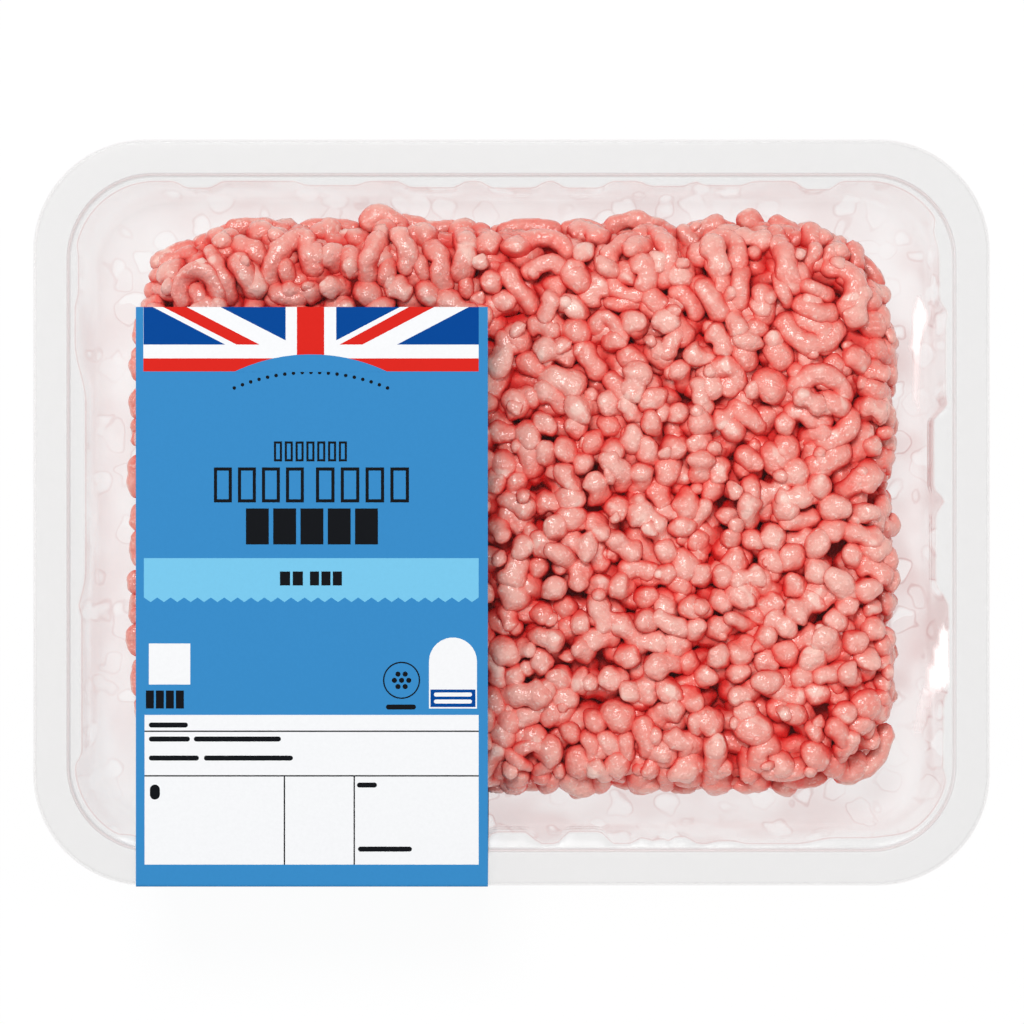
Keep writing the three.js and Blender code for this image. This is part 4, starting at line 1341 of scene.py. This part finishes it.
def frame_row(x0, y0, x1, y1, count, stroke, gap=0.25):
    """A row of empty frames in thin strokes."""
    step = (x1 - x0) / (count - gap)
    bars = []
    for i in range(count):
        left, right = x0 + i * step, x0 + (i + 1 - gap) * step
        top, low = y0 + stroke, y1 - stroke
        bars += [photo_box(left, y0, right, top), photo_box(left, low, right, y1)]
        bars += [photo_box(left, top, left + stroke, low), photo_box(right - stroke, top, right, low)]
    return bars


def photo_pill(x0, y0, x1, y1):
    return pill(x_of(x0), s_of(y0), x_of(x1), s_of(y1))


print("pixel", round(PIXEL / mm, 3), "mm")

# %% [markdown]
# Satin paper and its inks differ only in colour: each has a faint fibre grain, a little unevenness of ink
# and a soft sheen. The same recipe makes all of them.

# %% Paper and inks


def printed(name, colour, roughness=0.42):
    material, tree, shader = new_material(name, {"Specular IOR Level": 0.03})
    where = make(tree, "ShaderNodeTexCoord").outputs["Object"]
    fibre = noise_of(tree, where, 1500.0, 3.0)
    less, more = tuple(c * 0.965 for c in colour), tuple(min(1.0, c * 1.03) for c in colour)
    grain = make(tree, "ShaderNodeBump", {"Strength": 0.05, "Distance": 0.0001, "Height": fibre})
    feeds = {
        "Base Color": mixed(tree, "RGBA", fibre, less, more),
        "Normal": grain,
        "Roughness": straight_ranged(tree, fibre, 0.0, 1.0, roughness - 0.04, roughness + 0.04),
    }
    feed(tree, shader, feeds)
    return material


PAPER_LIGHT = 1.14


def seen(red, green, blue):
    """The linear paint colour that looks like this picture colour, 0 to 255, under this light."""
    linear = [((v / 255 + 0.055) / 1.055) ** 2.4 if v > 10 else v / 255 / 12.92 for v in (red, green, blue)]
    return tuple(v / PAPER_LIGHT for v in linear)


blue_paper = printed("blue_paper", seen(59, 143, 205))
navy_ink = printed("navy_ink", seen(2, 73, 155))
red_ink = printed("red_ink", seen(226, 41, 33))
white_ink = printed("white_ink", seen(252, 253, 255))
black_ink = printed("black_ink", seen(22, 24, 28))
pale_ink = printed("pale_blue_ink", seen(125, 205, 242))
print("six print materials")

# %% The strip itself
strip_length = line_along[-1]
whole_strip = box(LABEL_LEFT, 0, LABEL_RIGHT, strip_length)
label_piece = plates("label_paper", [whole_strip], PAPER, blue_paper, low=0.0)
# The parts between the folds are joined into one closed strip, without the walls between them.
merged = bmesh.new()
merged.from_mesh(label_piece.data)
bmesh.ops.remove_doubles(merged, verts=merged.verts, dist=1e-7)
between = [f for f in merged.faces if all(len(e.link_faces) > 2 for e in f.edges)]
bmesh.ops.delete(merged, geom=between, context="FACES")
merged.to_mesh(label_piece.data)
merged.free()
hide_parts("label")
print("label faces", len(label_piece.data.polygons))

# %% [markdown]
# The top panel has a band of crossed red, white and blue fields with an arch rising into it, rows of plain
# frames and blocks, a pale strip with a zigzag lower edge, two plain badges, and a white panel ruled into
# boxes.

# %% Print on the top panel
INK = [PAPER + 0.012 * mm * i for i in range(6)]
BAND_LEFT, BAND_RIGHT = 143.5, 478.7
BAND_TOP, BAND_CROSS, BAND_LOW, BAND_END = LABEL_BACK_ROW, 344.2, 358, 371
ARCH_CENTRE, ARCH_TOP, ARCH_RADIUS = 311, 354, 178


def arch(x0, x1, y_low, count=24):
    """The arch that rises into the band: its curved top edge between x0 and x1, closed along y_low."""
    xs = np.linspace(x0, x1, count)
    top = ARCH_TOP + ARCH_RADIUS - np.sqrt(ARCH_RADIUS**2 - (xs - ARCH_CENTRE) ** 2)
    return photo_shape([*zip(xs, np.minimum(top, y_low)), (x1, y_low), (x0, y_low)])


def field(*columns):
    """A field of the band: two columns on its top edge, two on the white cross below, in turn."""
    return photo_shape(zip(columns, (BAND_TOP, BAND_TOP, BAND_CROSS, BAND_CROSS)))


navy_shapes = [
    field(143.7, 152.8, 225.3, 143.7),
    photo_shape([(220.4, BAND_TOP), (285.7, BAND_TOP), (285.7, 340)]),
    photo_shape([(336.3, BAND_TOP), (400, BAND_TOP), (336.3, 340)]),
    field(469, 478.7, 478.7, 397),
]
red_shapes = [
    field(163.3, 186.8, 259.6, 236.7),
    field(409, 434.3, 362.4, 339.6),
    photo_box(297, BAND_TOP, 324.2, BAND_LOW),
    photo_box(BAND_LEFT, BAND_LOW, BAND_RIGHT, BAND_END),
]
plates("print_white_band", [photo_box(BAND_LEFT, BAND_TOP, BAND_RIGHT, BAND_END)], INK[1], white_ink)
plates("print_navy_fields", navy_shapes, INK[2], navy_ink)
plates("print_red_bands", red_shapes, INK[3], red_ink)
plates("print_arch", [arch(235, 387, BAND_END + 0.5)], INK[4], blue_paper)
TEETH = 25
STRIP_LEFT, STRIP_TOP, TEETH_TOP, TEETH_END = 144, 557.7, 597.0, 601.6
strip_width = BAND_RIGHT - STRIP_LEFT
strip = [(STRIP_LEFT, STRIP_TOP), (BAND_RIGHT, STRIP_TOP)]
for i in range(TEETH):
    right, left = (BAND_RIGHT - strip_width * n / TEETH for n in (i, i + 1))
    strip += [(right, TEETH_TOP), ((right + left) / 2, TEETH_END)]
strip.append((STRIP_LEFT, TEETH_TOP))
plates("print_pale_strip", [photo_shape(strip)], INK[1], pale_ink)
PANEL_LEFT, PANEL_END = 144.7, 864
white_panels = [photo_box(PANEL_LEFT, 714.4, BAND_RIGHT, PANEL_END), photo_box(149, 643, 190.4, 684)]
plates("print_white_panels", white_panels, INK[1], white_ink)
DOTS = 19
dot_angles = [math.radians(-113 + 46 * i / (DOTS - 1)) for i in range(DOTS)]
dot_places = [polar(ARCH_CENTRE, 568, 196, angle) for angle in dot_angles]
# The small bars on the white panel: first column and row, last column and row.
SMALL_BARS = (
    (149, 722, 188, 727),
    (149, 736, 190, 741),
    (194, 736, 281, 741),
    (149, 755, 199, 760),
    (204, 755, 293, 760),
    (150, 784, 160, 799),
    (357, 782, 377, 787),
    (358, 846, 412, 851),
)
black_shapes = [
    photo_box(PANEL_LEFT, 730.0, BAND_RIGHT, 731.4),
    photo_box(PANEL_LEFT, 774.6, BAND_RIGHT, 776.0),
    photo_box(283.8, 775, 285.2, PANEL_END),
    photo_box(353.6, 775, 355.0, PANEL_END),
    *frame_row(274, 441, 347, 461, 7, 2.2),
    *frame_row(214, 467, 304, 502, 4, 3.2),
    *frame_row(316, 467, 409, 502, 4, 3.2),
    *block_row(246, 508, 378, 544, 5, 0.16),
    *block_row(280, 571, 303, 585, 2),
    *block_row(310, 571, 342, 585, 3),
    *block_row(146, 690, 184, 708, 4),
    *[photo_pill(*bar) for bar in SMALL_BARS],
    *[disc(x_of(x), s_of(y), 1.84 * PIXEL, 10) for x, y in dot_places],
]
plates("print_black_bars", black_shapes, INK[2], black_ink)
print("print pieces so far", len(label_pieces))

# %% Badges
ring_x, ring_s = x_of(401.6), s_of(679.8)
DOT, DOT_CIRCLE = 2.6 * PIXEL, 7.2 * PIXEL


def ring(x, s, outer, inner, parts):
    """A ring as a row of small four-sided shapes."""
    turns = [2 * math.pi * i / parts for i in range(parts + 1)]
    corners = ((inner, 0), (outer, 0), (outer, 1), (inner, 1))
    return [[polar(x, s, r, ends[n]) for r, n in corners] for ends in zip(turns, turns[1:])]


round_dots = [polar(ring_x, ring_s, DOT_CIRCLE, t) for t in np.arange(6) * math.pi / 3]
badge_black = [
    *ring(ring_x, ring_s, 18.6 * PIXEL, 17.2 * PIXEL, 40),
    *[disc(x, s, DOT, 14) for x, s in [*round_dots, (ring_x, ring_s)]],
    photo_pill(386, 704, 416, 709),
]
plates("print_ring_badge", badge_black, INK[2], black_ink)


def arched_plate(x0, y0, x1, y1, count=16):
    """A plate with a half-round top."""
    radius = (x1 - x0) / 2
    top = [polar(x0 + radius, y0 + radius, radius, a) for a in np.linspace(math.pi, 2 * math.pi, count)]
    return photo_shape([*top, (x1, y1), (x0, y1)])


plates("print_arched_plate", [arched_plate(429, 637, 477, 708)], INK[1], white_ink)
plates("print_plate_foot", [photo_box(430.5, 689, 475.5, 706.5)], INK[2], navy_ink)
plate_bars = [photo_pill(434, y, 472, y + 4) for y in (692, 699)]
plates("print_plate_bars", plate_bars, INK[3], white_ink)

# %% [markdown]
# The photo doesn't show the front and the underside of the label. On packs like this one the strip carries
# on in the same blue, with another pale strip and a white panel, here filled with rows of thin bars and a
# block of upright ones.

# %% Print on the front and underside
front_start = line_along[1 + len(over_rim)]
foot_end = line_along[-2]
wall_top = front_start + 3 * mm
left, right = LABEL_LEFT + 2 * mm, LABEL_RIGHT - 2 * mm
middle = (left + right) / 2


def front_bar(half_width, top, low):
    """A bar with round ends in the middle of the front, in millimetres."""
    return pill(middle - half_width * mm, wall_top + top * mm, middle + half_width * mm, wall_top + low * mm)


under_top, under_end = foot_end + 3 * mm, strip_length - 4 * mm
LINE_PITCH, LINE_HEIGHT, BAR_GAP, MARGIN = 3.1 * mm, 1.1 * mm, 1.2 * mm, 3 * mm
under_black = []
rows = int((under_end - under_top - 8 * mm) / LINE_PITCH)
for row in range(rows):
    s = under_top + 3.5 * mm + row * LINE_PITCH
    start = left + MARGIN
    limit = middle - 2 * mm if row < rows * 0.62 else right - MARGIN
    while start < limit - MARGIN:
        bar = min(rng.uniform(3, 9) * mm, limit - start)
        under_black.append(box(start, s, start + bar, s + LINE_HEIGHT))
        start += bar + BAR_GAP
bar_x = middle + 4 * mm
while bar_x < right - 5 * mm:
    width = rng.choice([0.35, 0.7, 1.05]) * mm
    under_black.append(box(bar_x, under_top + 4 * mm, bar_x + width, under_top + 24 * mm))
    bar_x += width + rng.choice([0.35, 0.7]) * mm
plates("print_front_pale", [box(left, wall_top, right, wall_top + 9 * mm)], INK[1], pale_ink)
front_bars = [front_bar(16, 3, 6), front_bar(22, 12.5, 15.5), front_bar(12, 18.5, 20.5)]
plates("print_front_bars", front_bars, INK[2], black_ink)
plates("print_under_panel", [box(left, under_top, right, under_end)], INK[1], white_ink)
plates("print_under_bars", under_black, INK[2], black_ink)
for piece in label_pieces:
    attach(piece, "root")
print("pieces of the label", len(label_pieces))

# %% [markdown]
# Last, the strand shapes that were only there to be copied are removed.

# %% Clearing away the strand shapes
for kinds in (knobs, doubles, longer, crumbs, plain):
    for leftover in list(kinds.objects):
        bpy.data.objects.remove(leftover)
    bpy.data.collections.remove(kinds)
